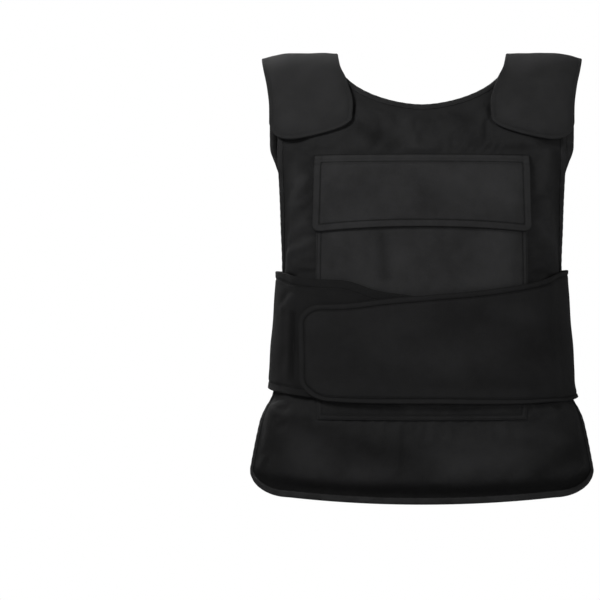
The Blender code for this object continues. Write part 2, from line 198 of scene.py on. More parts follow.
OVER_CORNER_TOP = 0.029
OVER_CORNER_BOTTOM = 0.038
OVER_EDGES = columns(
    "reach top bottom",
    (-0.166, -0.3590, -0.5010),
    (-0.104, -0.3580, -0.5035),
    (-0.050, -0.3510, -0.5040),
    (0.015, -0.3450, -0.5040),
    (0.095, -0.3375, -0.5055),
    (0.155, -0.3270, -0.5065),
    (0.200, -0.3130, -0.5050),
    (0.240, -0.3095, -0.5010),
    (0.360, -0.3095, -0.4950),
)

# Tape section, measured from the middle of the panel's rim: outward, and half of its height
TAPE_COVER = 0.0070
TAPE_OUTSIDE = columns(
    "outward height",
    (-0.0070, 0.0030),
    (-0.0064, 0.0034),
    (-0.0040, 0.0039),
    (-0.0015, 0.0041),
    (0.0006, 0.0036),
    (0.0019, 0.0024),
    (0.0024, 0.0009),
)
TAPE_INSIDE = columns(
    "outward height",
    (0.0015, 0.0008),
    (0.0009, 0.0019),
    (-0.0008, 0.0029),
    (-0.0040, 0.0031),
    (-0.0070, 0.0026),
)

# Soft waves that any large cloth has: cycles per metre across and up, phase and share
WAVES = columns(
    "across up phase share",
    (3.1, 5.3, 0.4, 0.40),
    (7.4, -4.2, 1.9, 0.25),
    (-5.6, 9.1, 4.0, 0.20),
    (13.7, 6.4, 2.6, 0.10),
    (-9.2, 17.3, 5.2, 0.05),
)

# Folds and dents of the front: a line from one place to another, its width and its height;
# the finish also paints each height into the colour, as painted shade in dents and painted light on
# ridges
FRONT_FOLDS = columns(
    "x z to_x to_z width height",
    (-0.198, -0.232, -0.164, -0.180, 0.0075, 0.0022),
    (-0.196, -0.262, -0.168, -0.222, 0.0090, -0.0016),
    (-0.192, -0.286, -0.158, -0.268, 0.0070, 0.0018),
    (-0.182, -0.162, -0.170, -0.186, 0.0100, 0.0014),
    (0.196, -0.285, 0.160, -0.240, 0.0100, 0.0012),
    (0.184, -0.150, 0.188, -0.262, 0.0150, 0.0015),
    # These two dents lie where the straps' ends cast shadow; their painted shade stands in for it
    (-0.096, -0.104, -0.064, -0.124, 0.0110, -0.0024),
    (0.108, -0.110, 0.150, -0.128, 0.0120, -0.0024),
    (-0.070, -0.095, -0.040, -0.140, 0.0110, -0.0010),
    (0.072, -0.098, 0.048, -0.140, 0.0110, -0.0008),
    (-0.020, -0.090, -0.012, -0.138, 0.0130, 0.0012),
    # A broad ridge on the left chest, painted lighter as painted light
    (-0.184, -0.185, -0.174, -0.245, 0.0150, 0.0024),
    # Broad dents at the left hem, painted darker as painted shade on the flare
    (-0.228, -0.545, -0.222, -0.610, 0.0170, -0.0028),
    (-0.206, -0.530, -0.192, -0.604, 0.0160, -0.0016),
    (-0.160, -0.570, -0.140, -0.594, 0.0160, 0.0010),
    (-0.205, -0.528, -0.130, -0.540, 0.0120, -0.0012),
    (-0.110, -0.562, -0.030, -0.575, 0.0240, -0.0014),
    (0.046, -0.598, 0.132, -0.578, 0.0200, 0.0022),
    (-0.090, -0.600, -0.050, -0.604, 0.0160, 0.0010),
    (0.120, -0.540, 0.190, -0.555, 0.0120, 0.0010),
    (0.170, -0.600, 0.232, -0.560, 0.0160, -0.0022),
)
BACK_FOLDS = columns(
    "x z to_x to_z width height",
    (-0.190, -0.290, -0.120, -0.230, 0.0120, 0.0022),
    (0.190, -0.280, 0.125, -0.215, 0.0120, 0.0022),
    (-0.170, -0.180, -0.110, -0.160, 0.0110, -0.0016),
    (0.170, -0.185, 0.110, -0.160, 0.0110, -0.0016),
    (-0.080, -0.480, 0.085, -0.492, 0.0150, -0.0026),
    (-0.110, -0.520, 0.060, -0.528, 0.0160, 0.0022),
    (-0.205, -0.560, -0.150, -0.620, 0.0130, 0.0022),
    (0.205, -0.555, 0.150, -0.618, 0.0130, 0.0022),
)

# What lies on the panels, and how their padding shows beside it
PANEL_PAD = 0.0100
COVERED_RIM = 0.024
COVERED_FULL = 0.055
OPEN_FULL = 0.030
COVER_SOFT = 0.012
STRAP_COVER_X = 0.100
STRAP_COVER_FRONT = -0.128
WAIST_COVER_LOW = -0.512
WAIST_COVER_HIGH = -0.312
BACK_FLAP_X = 0.170
CREASE_AT = 0.0155
CREASE_WIDTH = 0.0110
CREASE_DEPTH = 0.0036
CREASE_HIGH_Z = -0.590
CREASE_LOW_Z = -0.612

# Grids, seams and stitches
FRONT = -1.0
BACK = 1.0
SIDES = ("bottom", "right", "top", "left")
NORMAL_STEP = 1e-5
EDGE_POINTS = 200
OUTLINE_STEP = 0.0005
HALF_ROOT = math.sqrt(0.5)
OVAL_END = 0.999
SAMPLES = 4001
GRID_GROWTH = 0.22
WAY_STEPS = 81
SMALLEST_STEP = 1e-9
PANEL_STEP = 0.0030
PANEL_FINE = 0.0012
SHEET_STEP = 0.0024
SHEET_FINE = 0.0005
STITCH_SIDES = 5
STITCH_RINGS = np.array((-0.65, 0.0, 0.65))
STITCH_PROUD = 0.15
STITCH_DIP = 0.75
COOL_BLUE = 1.02
CLOTH_MAP = "cloth"
RIM_MAP = "rim"
# The relief mark: the finish paints each point's height as shade and light, darker where pressed in
RELIEF_SHADE_MAP = "raised"
RAISED_UNIT = 0.002
MIX_FIRST, MIX_SECOND, MIX_COLOUR = 6, 7, 2

# Seams, tapes and dents of the sheets
TAPE_STEP = 0.0030
PUCKER = 0.00035
PUCKER_PITCH = 0.0125
PUCKER_DRIFT = {"rate": 31.0, "size": 2.0}
PUCKER_EDGE = -0.006
PUCKER_LIFT = 0.5
STITCH_INSET = 0.0046
STITCH_HEIGHT = 0.0039
STRAP_WIDTH = 0.115
STRAP_LENGTH = 0.340
STRAP_SEAM = {"inset": 0.0060, "width": 0.0013, "depth": 0.0002}
STRAP_PUFF = {"height": 0.0006, "start": 0.0040, "full": 0.0200}
STRAP_WAVES = {"across": 3.0, "climb": 0.3, "height": 0.0006}
POCKET_SEAMS = columns(
    "inset width depth",
    (0.0016, 0.0006, 0.0006),
    (0.0072, 0.0009, 0.0007),
)
POCKET_SHOWN = {"under_flap": -0.235, "below_flap": -0.262, "waist_flaps": -0.332, "soft": 0.010}
POCKET_WAVE = 0.0006
POCKET_FOOT = {"depth": 0.0007, "start": 0.0020, "full": 0.0060}
POCKET_FOLDS = columns(
    "x z to_x to_z width height",
    (-0.058, -0.262, -0.052, -0.320, 0.008, -0.0014),
    (0.104, -0.268, 0.108, -0.320, 0.030, 0.0013),
)
COVER_SEAM = {"inset": 0.0110, "width": 0.0010, "depth": 0.0008}
COVER_TOP_SEAMS = columns(
    "inset width depth",
    (0.0072, 0.0010, 0.0007),
    (0.0130, 0.0010, 0.0007),
)
COVER_WAVES = {"up": 1.4, "height": 0.0007}
POCKET_FLAP_FOLDS = columns(
    "x z to_x to_z width height",
    (0.055, -0.190, 0.120, -0.205, 0.026, 0.0013),
    (-0.125, -0.195, -0.070, -0.215, 0.024, -0.0007),
    (0.000, -0.190, 0.010, -0.225, 0.016, -0.0008),
)
FOLDS_START = 0.006
FOLDS_FULL = 0.028
OVER_SEAM = {"inset": 0.0087, "width": 0.0016, "depth": 0.0013}
UNDER_SEAM = {"inset": 0.0125, "width": 0.0016, "depth": 0.0012}
WAIST_STITCH = 0.0006
WAIST_EDGE_PUFF = 0.0001
WAIST_SOFT = 0.020
WAIST_WAVES = {"up": 1.3, "height": 0.0010}
UNDER_SHOWN_FROM = 0.140
UNDER_SHOWN_FULL = 0.156
UNDER_FOLDS = columns(
    "x z to_x to_z width height",
    # This dent lies where the over flap's tip casts its shadow; its painted shade stands in for it
    (0.177, -0.375, 0.177, -0.478, 0.0060, -0.0026),
    (0.178, -0.336, 0.205, -0.352, 0.0060, -0.0014),
    (0.178, -0.350, 0.205, -0.366, 0.0070, 0.0014),
    (0.190, -0.430, 0.215, -0.460, 0.0140, -0.0010),
)
OVER_FOLDS = columns(
    "x z to_x to_z width height",
    (0.100, -0.360, 0.150, -0.380, 0.014, 0.0012),
    (-0.060, -0.430, 0.040, -0.445, 0.020, 0.0010),
    (0.080, -0.470, 0.160, -0.480, 0.014, -0.0010),
)

# Cloth simulation of the padding
CLOTH_STEP = 0.0075
CLOTH_FRAMES = 20
CLOTH_QUALITY = 5
CLOTH_MASS = 0.3
CLOTH_BENDING = 0.5

# Camera, floor and lights
VIEW_DISTANCE = 12.0
VIEW_X = -0.1759
VIEW_Z = -0.3530
VIEW_PLANE_Y = -0.050
VIEW_HALF_WIDTH = 0.4333
VIEW_END = 100.0
SENSOR_MM = 36.0
FLOOR_Z = -1.150
FLOOR_RADIUS = 6.0
FLOOR_SIDES = 96
BACKDROP_STRENGTH = 1.0
AMBIENT_STRENGTH = 0.20
WHITE = (1.0, 1.0, 1.0, 1.0)
LIGHTS = (
    ("key", (-1.2, -1.4, 1.05), 0.6, 46.0),
    ("fill", (1.5, -1.8, 0.1), 1.2, 21.0),
    ("back", (-1.1, 1.7, 1.3), 1.0, 42.0),
)


def read(table, name, at):
    """Read a column at the given places, by cubics through the table's rows."""
    place = next(iter(table.values()))
    value = table[name]
    slope = np.gradient(value, place)
    at = np.clip(at, place[0], place[-1])
    row = np.clip(np.searchsorted(place, at) - 1, 0, len(place) - 2)
    span = place[row + 1] - place[row]
    part = (at - place[row]) / span
    rest = 1.0 - part
    return (
        rest * rest * (1.0 + 2.0 * part) * value[row]
        + part * part * (3.0 - 2.0 * part) * value[row + 1]
        + part * rest * span * (rest * slope[row] - part * slope[row + 1])
    )


def ease(value, start, end):
    """Rise smoothly from 0 at start to 1 at end."""
    part = np.clip((value - start) / (end - start), 0.0, 1.0)
    return part * part * (3.0 - 2.0 * part)


def hump(value, middle, width):
    """A bell of height 1 at the middle: e to the minus square of the distance in widths."""
    return np.exp(-(((value - middle) / width) ** 2))


def crest(x):
    """Height of the shoulder's crest, which falls away towards the arm."""
    return CREST_Z - CREST_SLOPE_DROP * ease(np.abs(x), CREST_SLOPE_START, CREST_SLOPE_END)


def oval(turn, power):
    """Sine and cosine of a turn, pushed out to a superellipse of that power."""
    sine, cosine = np.sin(turn), np.cos(turn)
    radius = (np.abs(sine) ** power + np.abs(cosine) ** power) ** (-1.0 / power)
    return radius * sine, radius * cosine


def oval_turn(share, power):
    """The turn whose oval sine is the given share of the half width."""
    share = np.clip(share, -OVAL_END, OVAL_END)
    return np.arctan2(share, (1.0 - np.abs(share) ** power) ** (1.0 / power))


def torso_depth(ahead, z):
    """Depth of the form at a height: its front's where ahead is positive, else its back's."""
    return np.where(ahead > 0.0, read(TORSO, "front_depth", z), read(TORSO, "back_depth", z))


def torso(turn, z):
    """Point of the form at a turn from the middle of the front and at a height.

    Each level is a superellipse; above the chest its depth closes along another one.
    """
    across, ahead = oval(turn, GIRTH_POWER)
    x = read(TORSO, "half_width", z) * across
    climb = np.clip((z - CHEST_Z) / (crest(x) - CHEST_Z), 0.0, 1.0)
    closing = (1.0 - climb ** SHOULDER_POWER) ** (1.0 / SHOULDER_POWER)
    depth = torso_depth(ahead, np.minimum(z, CHEST_Z))
    return np.stack((x, -depth * closing * ahead, z + 0.0 * x), axis=-1)


def shoulder(x, climb):
    """Point of the form at x and at a climb angle: 0 chest, quarter turn crest, half turn back."""
    rise, ahead = oval(climb, SHOULDER_POWER)
    z = CHEST_Z + rise * (crest(x) - CHEST_Z)
    share = np.abs(x) / read(TORSO, "half_width", z)
    closing = (1.0 - share ** GIRTH_POWER) ** (1.0 / GIRTH_POWER)
    depth = torso_depth(ahead, CHEST_Z)
    return np.stack((x + 0.0 * z, -depth * closing * ahead, z), axis=-1)


def turn_at(x, z, side):
    """Turn on the form of a point given by x and height, on the front or the back."""
    turn = oval_turn(x / read(TORSO, "half_width", z), GIRTH_POWER)
    return turn if side == FRONT else np.where(x < 0.0, -math.pi, math.pi) - turn


def unit(vectors):
    """Scale vectors to length one."""
    return vectors / np.linalg.norm(vectors, axis=-1, keepdims=True)


def normals(surface, first, second):
    """Unit normals of a surface, pointing away from the body."""
    here = surface(first, second)
    along_first = surface(first + NORMAL_STEP, second) - surface(first - NORMAL_STEP, second)
    along_second = surface(first, second + NORMAL_STEP) - surface(first, second - NORMAL_STEP)
    normal = unit(np.cross(along_first, along_second))
    return normal * np.sign(np.sum(normal * (here - BODY_CENTRE), axis=-1, keepdims=True))


def stations(length, coarse, places, fine):
    """Places along a length: fine apart at the named places, growing to coarse away from them."""
    sample = np.linspace(0.0, length, SAMPLES)
    away = np.abs(sample[:, None] - np.array(places)).min(axis=1)
    spacing = np.clip(fine + GRID_GROWTH * away, fine, coarse)
    steps = np.diff(sample) * 2.0 / (spacing[1:] + spacing[:-1])
    count = np.concatenate(([0.0], np.cumsum(steps)))
    return np.interp(np.linspace(0.0, count[-1], math.ceil(count[-1]) + 1), count, sample)


def sheet_stations(length):
    """Places along a sheet, fine apart at both of its ends."""
    return stations(length, SHEET_STEP, [0.0, length], SHEET_FINE)


def walked(points):
    """Distance walked along a line of points, from its first one."""
    steps = np.linalg.norm(np.diff(points, axis=0), axis=-1)
    return np.concatenate(([0.0], np.cumsum(steps)))


def resampled(points, places):
    """Points of a line at the given distances from its start."""
    along = walked(points)
    return np.stack([np.interp(places, along, column) for column in points.T], axis=-1)


def side_cells(rows, cols, side):
    """Row and column numbers along one side of a grid, in one sense round it."""
    if side == "bottom":
        return np.zeros(cols, int), np.arange(cols)
    if side == "right":
        return np.arange(rows), np.full(rows, cols - 1)
    if side == "top":
        return np.full(cols, rows - 1), np.arange(cols)[::-1]
    return np.arange(rows)[::-1], np.zeros(rows, int)


def border_distance(points, sides=SIDES):
    """Distance of each point of a grid from the named sides of the grid, in a straight line."""
    rows, cols = points.shape[:2]
    border = np.concatenate([points[side_cells(rows, cols, side)] for side in sides])
    border = border.astype(np.float32)
    away = [
        np.linalg.norm(row[:, None] - border[None], axis=-1).min(axis=-1)
        for row in points.astype(np.float32)
    ]
    return np.stack(away).astype(float)


def between(grid, row, col):
    """Read a grid of vectors at fractional rows and columns, straight between its points."""
    low_row = np.clip(np.floor(row).astype(int), 0, grid.shape[0] - 2)
    low_col = np.clip(np.floor(col).astype(int), 0, grid.shape[1] - 2)
    up = (row - low_row)[..., None]
    across = (col - low_col)[..., None]
    low = (1.0 - across) * grid[low_row, low_col] + across * grid[low_row, low_col + 1]
    high = (1.0 - across) * grid[low_row + 1, low_col] + across * grid[low_row + 1, low_col + 1]
    return (1.0 - up) * low + up * high


def waves(across, up, size):
    """Soft waves: a sum of sines that run in the directions of the table."""
    cycles = across[..., None] * WAVES["across"] + up[..., None] * WAVES["up"]
    angle = cycles * 2.0 * math.pi + WAVES["phase"]
    return size * np.sum(WAVES["share"] * np.sin(angle), axis=-1)


def folds(table, x, z):
    """Folds and dents: a bell across each line of the table, which fades past the line's ends."""
    start = np.stack((table["x"], table["z"]), axis=-1)
    along = np.stack((table["to_x"], table["to_z"]), axis=-1) - start
    place = np.stack((x, z), axis=-1)[..., None, :] - start
    share = np.sum(place * along, axis=-1) / np.sum(along * along, axis=-1)
    nearest = place - np.clip(share, 0.0, 1.0)[..., None] * along
    away = np.linalg.norm(nearest, axis=-1)
    return np.sum(table["height"] * np.exp(-((away / table["width"]) ** 2)), axis=-1)


def groove(away, inset, width, depth):
    """A pressed seam: a bell across it, at its distance from an edge."""
    return depth * hump(away, inset, width)


def grooves(away, table):
    """The sum of the pressed seams of a table."""
    return sum(groove(away, *row) for row in zip(*table.values()))


def rounded(away, radius):
    """Share of the thickness near an edge: a quarter circle that closes at the edge."""
    rest = 1.0 - np.clip(away / radius, 0.0, 1.0)
    return np.sqrt(np.clip(1.0 - rest * rest, 0.0, 1.0))


def quads(index):
    """Quads between the neighbours of an array of point numbers."""
    corners = (index[:-1, :-1], index[:-1, 1:], index[1:, 1:], index[1:, :-1])
    return np.stack(corners, axis=-1).reshape(-1, 4)


def mesh_object(name, points, faces, flat, marks, material):
    """Make a smooth mesh, with its flat layout as a UV map and what its finish reads.

    flat has a place for each corner of each face. marks names values for each point: its
    distance from an edge, and how far it is raised or pressed in, which the finish paints into
    the colour as shade and light.
    """
    mesh = bpy.data.meshes.new(name)
    mesh.from_pydata(points.reshape(-1, 3).tolist(), [], faces)
    layout = mesh.uv_layers.new(name=CLOTH_MAP)
    layout.uv.foreach_set("vector", flat.astype(np.float32).reshape(-1))
    for label, values in marks.items():
        mark = mesh.attributes.new(label, "FLOAT", "POINT")
        mark.data.foreach_set("value", values.reshape(-1).astype(np.float32))
    mesh.update()
    mesh.shade_smooth()
    mesh.materials.append(material)
    made = bpy.data.objects.new(name, mesh)
    bpy.context.scene.collection.objects.link(made)
    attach(made, "root")
    return made


def wall_faces(outer, inner):
    """Faces that close an outer and an inner grid into one wall with a shared border."""
    rows, cols = outer.shape[:2]
    face = np.arange(rows * cols).reshape(rows, cols)
    lining = face.copy()
    inside = np.arange((rows - 2) * (cols - 2)).reshape(rows - 2, cols - 2)
    lining[1:-1, 1:-1] = rows * cols + inside
    faces = np.concatenate((quads(face), quads(lining)[:, ::-1]))
    middle = outer[rows // 2, cols // 2]
    across = outer[rows // 2, cols // 2 + 1] - middle
    up = outer[rows // 2 + 1, cols // 2] - middle
    if np.dot(np.cross(across, up), middle - inner[rows // 2, cols // 2]) < 0.0:
        faces = faces[:, ::-1]
    return faces


def with_lining(outer, inner):
    """Points of a wall: the whole outer grid, then the inner grid inside its border."""
    width = outer.shape[-1]
    return np.concatenate((outer.reshape(-1, width), inner[1:-1, 1:-1].reshape(-1, width)))


def measured(points):
    """Flat layout of a grid: the distance walked along its middle row and middle column."""
    rows, cols = points.shape[:2]
    across = walked(points[rows // 2])
    up = walked(points[:, cols // 2])
    return np.stack(np.broadcast_arrays(across[None, :] - across[cols // 2], up[:, None]), axis=-1)


def cloth_wall(name, outer, inner, away, raised, material):
    """Close an outer and an inner grid into one piece of cloth."""
    faces = wall_faces(outer, inner)
    flat = measured(outer)
    flat = with_lining(flat, flat)[faces]
    rim = with_lining(away[..., None], away[..., None])
    # The outer face's relief, kept as a mark that the finish paints as shade and light
    raised = with_lining(raised[..., None], 0.0 * raised[..., None]) / RAISED_UNIT
    marks = {RIM_MAP: rim, RELIEF_SHADE_MAP: raised}
    return mesh_object(name, with_lining(outer, inner), faces.tolist(), flat, marks, material)


def sheet_piece(name, surface, first, second, lift, thickness, relief, material):
    """Make a cloth wall on a surface, and return it with what its seams need.

    The inner face keeps its lift. relief is added to the outer face's height, and both faces
    meet in a round edge at half of the thickness.
    """
    base = surface(first, second)
    normal = normals(surface, first, second)
    away = border_distance(base)
    share = rounded(away, thickness / 2.0)
    edge = lift + thickness / 2.0
    raised = relief(away) * share
    outer = base + normal * (edge + thickness / 2.0 * share + raised)[..., None]
    inner = base + normal * (edge - thickness / 2.0 * share)[..., None]
    made = cloth_wall(name, outer, inner, away, raised, material)
    return made, {"outer": outer, "normal": normal, "away": away}


def seam_line(wall, inset, sides):
    """Line that runs inside the named sides of a piece.

    From each border point a straight way leads to the middle of the grid; the line passes
    where the distance from the edge first reaches the inset on that way.
    """
    rows, cols = wall["away"].shape
    cells = [side_cells(rows, cols, side) for side in sides]
    row, col = (np.concatenate(parts).astype(float) for parts in zip(*cells))
    margin = min(rows, cols) // 2 - 1
    goal_row = np.clip(row, margin, rows - 1 - margin)
    goal_col = np.clip(col, margin, cols - 1 - margin)
    share = np.linspace(0.0, 1.0, WAY_STEPS)
    way_row = row[:, None] + share * (goal_row - row)[:, None]
    way_col = col[:, None] + share * (goal_col - col)[:, None]
    away = between(wall["away"][..., None], way_row, way_col)[..., 0]
    found = np.maximum(np.argmax(away >= inset, axis=1), 1)
    line = np.arange(len(row))
    before, after = away[line, found - 1], away[line, found]
    part = np.clip((inset - before) / np.maximum(after - before, SMALLEST_STEP), 0.0, 1.0)
    share = (found - 1 + part) / (WAY_STEPS - 1)
    row = row + share * (goal_row - row)
    col = col + share * (goal_col - col)
    return between(wall["outer"], row, col), between(wall["normal"], row, col)


def stitch_run(piece, lines, sizes):
    """Make a piece's rows of stitches as one mesh.

    Each stitch is a five-sided spindle that lies along its line; its ends dip into the cloth
    with the square of the distance from its middle.
    """
    pitch, length, thread = sizes.stitch_pitch, sizes.stitch_length, sizes.thread_width
    centre, ahead, up = [], [], []
    for points, normal in lines:
        along = walked(points)
        places = np.arange(pitch / 2.0, along[-1], pitch)
        direction = resampled(points, np.minimum(places + pitch / 2.0, along[-1]))
        direction = unit(direction - resampled(points, np.maximum(places - pitch / 2.0, 0.0)))
        raised = np.stack([np.interp(places, along, part) for part in normal.T], axis=-1)
        centre.append(resampled(points, places))
        ahead.append(direction)
        up.append(unit(raised - np.sum(raised * direction, axis=-1, keepdims=True) * direction))
    centre, ahead, up = (np.concatenate(parts) for parts in (centre, ahead, up))
    side = np.cross(up, ahead)

    turn = np.arange(STITCH_SIDES) * 2.0 * math.pi / STITCH_SIDES
    size = np.sqrt(1.0 - STITCH_RINGS ** 2)
    along = np.concatenate(([-1.0], np.repeat(STITCH_RINGS, STITCH_SIDES), [1.0]))
    wide = np.concatenate(([0.0], np.outer(size, np.cos(turn)).ravel(), [0.0])) * thread / 2.0
    high = np.concatenate(([0.0], np.outer(size, np.sin(turn)).ravel(), [0.0])) * thread / 2.0
    high = high + STITCH_PROUD * thread - STITCH_DIP * thread * along ** 2
    along = along * length / 2.0
    points = (
        centre[:, None]
        + along[None, :, None] * ahead[:, None]
        + wide[None, :, None] * side[:, None]
        + high[None, :, None] * up[:, None]
    )

    ring = 1 + np.arange(len(STITCH_RINGS) * STITCH_SIDES).reshape(-1, STITCH_SIDES)
    ring = np.concatenate((ring, ring[:, :1]), axis=1)
    first = np.zeros(STITCH_SIDES, int)
    last = first + len(along) - 1
    caps = np.concatenate((
        np.stack((first, ring[0, 1:], ring[0, :-1]), axis=-1),
        np.stack((ring[-1, :-1], ring[-1, 1:], last), axis=-1),
    ))
    start = (np.arange(len(centre)) * len(along))[:, None, None]
    body = (quads(ring)[None, :, ::-1] + start).reshape(-1, 4)
    caps = (caps[None, :, ::-1] + start).reshape(-1, 3)
    flat = np.stack(np.broadcast_arrays(along + start[:, 0] * pitch, wide), axis=-1).reshape(-1, 2)
    corners = np.concatenate((body.reshape(-1), caps.reshape(-1)))
    faces = body.tolist() + caps.tolist()
    thread_cloth = finish_named("thread")
    made = mesh_object(piece + "_stitches", points, faces, flat[corners], {}, thread_cloth)


def softened(points, reach, step):
    """Round a line's corners by averaging it over a reach; its ends go on as mirror images."""
    along = walked(points)[-1]
    even = resampled(points, np.linspace(0.0, along, round(along / step)))
    width = round(reach / step)
    before = even[width:0:-1] * (-1.0, 1.0)
    after = even[-2:-width - 2:-1] * (-1.0, 1.0)
    kernel = np.hanning(2 * width + 3)[1:-1]
    kernel = kernel / kernel.sum()
    longer = np.concatenate((before, even, after))
    return np.stack([np.convolve(part, kernel, "valid") for part in longer.T], axis=-1)


def panel_outline(label):
    """Half of a panel's outline in x and z, from the hem's middle to the neck's middle.

    The hem is a shallow arc and a quarter oval, the side follows its table, the tab's top is
    straight, and the neck is a quarter of a superellipse.
    """
    hem_x = np.linspace(0.0, HEM_CORNER_X, EDGE_POINTS)
    hem = np.stack((hem_x, HEM_Z + HEM_RISE * (hem_x / HEM_CORNER_X) ** 2), axis=-1)
    swing = np.linspace(0.0, math.pi / 2.0, EDGE_POINTS)
    corner_x = HEM_CORNER_X + HEM_CORNER_WIDTH * np.sin(swing)
    corner = np.stack((corner_x, HEM_CORNER_Z - HEM_CORNER_HEIGHT * np.cos(swing)), axis=-1)
    side_z = np.linspace(HEM_CORNER_Z, TAB_TOP_Z, EDGE_POINTS)
    side = np.stack((read(PANEL_SIDE, label, side_z), side_z), axis=-1)
    neck_depth = NECK_DEPTH[label]
    neck_end = math.acos(((NECK_ARC_Z - TAB_TOP_Z) / neck_depth) ** (1.0 / NECK_FULLNESS))
    swing = np.linspace(neck_end, 0.0, EDGE_POINTS)
    neck_x = NECK_HALF_WIDTH * np.sin(swing) ** NECK_FULLNESS
    neck = np.stack((neck_x, NECK_ARC_Z - neck_depth * np.cos(swing) ** NECK_FULLNESS), axis=-1)
    outline = np.concatenate((hem, corner[1:], side[1:], neck))
    return softened(outline, TAB_CORNER, OUTLINE_STEP)


def nearest(line, place):
    """Number of the point of a line that lies nearest to a place."""
    return np.linalg.norm(line - place, axis=-1).argmin()


def tab_corner(label):
    """Outer top corner of a panel's shoulder tab, in x and z."""
    return PANEL_SIDE[label][-1], TAB_TOP_Z


def panel_layout(label, coarse, fine):
    """Fill an outline with rows and columns of x and z, mirrored across the middle.

    Half a panel is a Coons patch: each inner point blends the hem, the side, the top and the
    middle line beside it.
    """
    outline = panel_outline(label)
    hem_turn = (
        HEM_CORNER_X + HEM_CORNER_WIDTH * HALF_ROOT,
        HEM_CORNER_Z - HEM_CORNER_HEIGHT * HALF_ROOT,
    )
    hem_end, side_end = nearest(outline, hem_turn), nearest(outline, tab_corner(label))
    low, side, top = outline[:hem_end + 1], outline[hem_end:side_end + 1], outline[side_end:][::-1]
    across = stations(walked(top)[-1], coarse, [walked(top)[-1]], fine)
    up = stations(walked(side)[-1], coarse, [0.0, walked(side)[-1]], fine)
    across, up = across / across[-1], up / up[-1]
    low, top = (resampled(line, across * walked(line)[-1])[None] for line in (low, top))
    side = resampled(side, up * walked(side)[-1])[:, None]
    across, up = across[None, :, None], up[:, None, None]
    middle = low[:, :1] + up * (top[:, :1] - low[:, :1])
    half = (1 - up) * low + up * top + (1 - across) * middle + across * side
    half = half - (1 - up) * ((1 - across) * low[:, :1] + across * low[:, -1:])
    half = half - up * ((1 - across) * top[:, :1] + across * top[:, -1:])
    whole = np.concatenate((half[:, :0:-1] * (-1.0, 1.0), half), axis=1)
    across, up = across[0, :, 0], up[:, 0, 0]
    return whole[..., 0], whole[..., 1], np.concatenate((-across[:0:-1], across)), up


def within(value, low, high, soft):
    """1 between two limits and 0 outside, with soft sides that lie inside the limits."""
    return ease(value, low, low + soft) * ease(-value, -high, -high + soft)


def exposure(side, x, z):
    """1 where a panel's face shows, 0 where a strap, the pocket or a flap lies on it."""
    width = np.abs(x)
    strap_end = STRAP_COVER_FRONT if side == FRONT else STRAP_BACK_Z
    strap = ease(width, STRAP_COVER_X - COVER_SOFT, STRAP_COVER_X)
    strap = strap * ease(z, strap_end - COVER_SOFT, strap_end)
    flaps = within(z, WAIST_COVER_LOW, WAIST_COVER_HIGH, COVER_SOFT)
    if side == BACK:
        flaps = flaps * ease(width, BACK_FLAP_X - COVER_SOFT, BACK_FLAP_X)
        return (1.0 - strap) * (1.0 - flaps)
    low, high = POCKET_BOTTOM_Z - COVER_SOFT, FLAP_TOP_Z + COVER_SOFT
    pocket = ease(-width, -POCKET_HALF_WIDTH - COVER_SOFT, -POCKET_HALF_WIDTH)
    pocket = pocket * within(z, low, high, COVER_SOFT)
    return (1.0 - strap) * (1.0 - pocket) * (1.0 - flaps)


def panel_height(side, x, z, away, sizes):
    """Height of a panel's padding above its inner face, and the folds and waves where it shows."""
    shown = exposure(side, x, z)
    covered = ease(away, COVERED_RIM, COVERED_FULL)
    open_face = ease(away, TAPE_COVER, OPEN_FULL)
    share = (covered + (open_face - covered) * shown) * ease(-z, -TAB_THIN_Z, -TAB_FULL_Z)
    table = FRONT_FOLDS if side == FRONT else BACK_FOLDS
    relief = folds(table, x, z) + waves(x, z, sizes.wave_height)
    # The hem's crease is pressed in, and the finish also paints it darker as painted shade
    crease = groove(away, CREASE_AT, CREASE_WIDTH, CREASE_DEPTH)
    crease = crease * ease(-z, -CREASE_HIGH_Z, -CREASE_LOW_Z)
    return PANEL_RIM + (PANEL_PAD - PANEL_RIM) * share, shown * (relief * open_face - crease)


def billow(outer, inner, normal, held, sizes):
    """Swelling of a padded face from a cloth simulation, along its normals.

    A coarse closed copy of the pad, cut larger by the spare share, is held where held is 1 and
    blown up by an even pressure. The copy is removed again.
    """
    faces = wall_faces(outer, inner)
    mesh = bpy.data.meshes.new("billow")
    mesh.from_pydata(with_lining(outer, inner).tolist(), [], faces.tolist())
    pad = bpy.data.objects.new("billow", mesh)
    bpy.context.scene.collection.objects.link(pad)
    group = pad.vertex_groups.new(name="held")
    share = with_lining(held[..., None], np.ones_like(held)[..., None])[:, 0]
    for index, weight in enumerate(share.tolist()):
        group.add([index], weight, "REPLACE")
    cloth = pad.modifiers.new("Cloth", "CLOTH")
    settings = cloth.settings
    settings.quality = CLOTH_QUALITY
    settings.mass = CLOTH_MASS
    settings.bending_stiffness = CLOTH_BENDING
    settings.vertex_group_mass = "held"
    settings.shrink_min = -sizes.cloth_spare
    settings.use_pressure = True
    settings.uniform_pressure_force = sizes.padding_pressure
    settings.effector_weights.gravity = 0.0
    cloth.collision_settings.use_collision = False
    for number in range(1, CLOTH_FRAMES + 1):
        bpy.context.scene.frame_set(number)
    blown = pad.evaluated_get(bpy.context.evaluated_depsgraph_get()).to_mesh()
    places = np.empty(len(blown.vertices) * 3)
    blown.vertices.foreach_get("co", places)
    moved = places.reshape(-1, 3)[:outer[..., 0].size].reshape(outer.shape) - outer
    bpy.context.scene.frame_set(1)
    bpy.data.objects.remove(pad)
    bpy.data.meshes.remove(mesh)
    return np.clip(np.sum(moved * normal, axis=-1), -sizes.swell_limit, sizes.swell_limit)


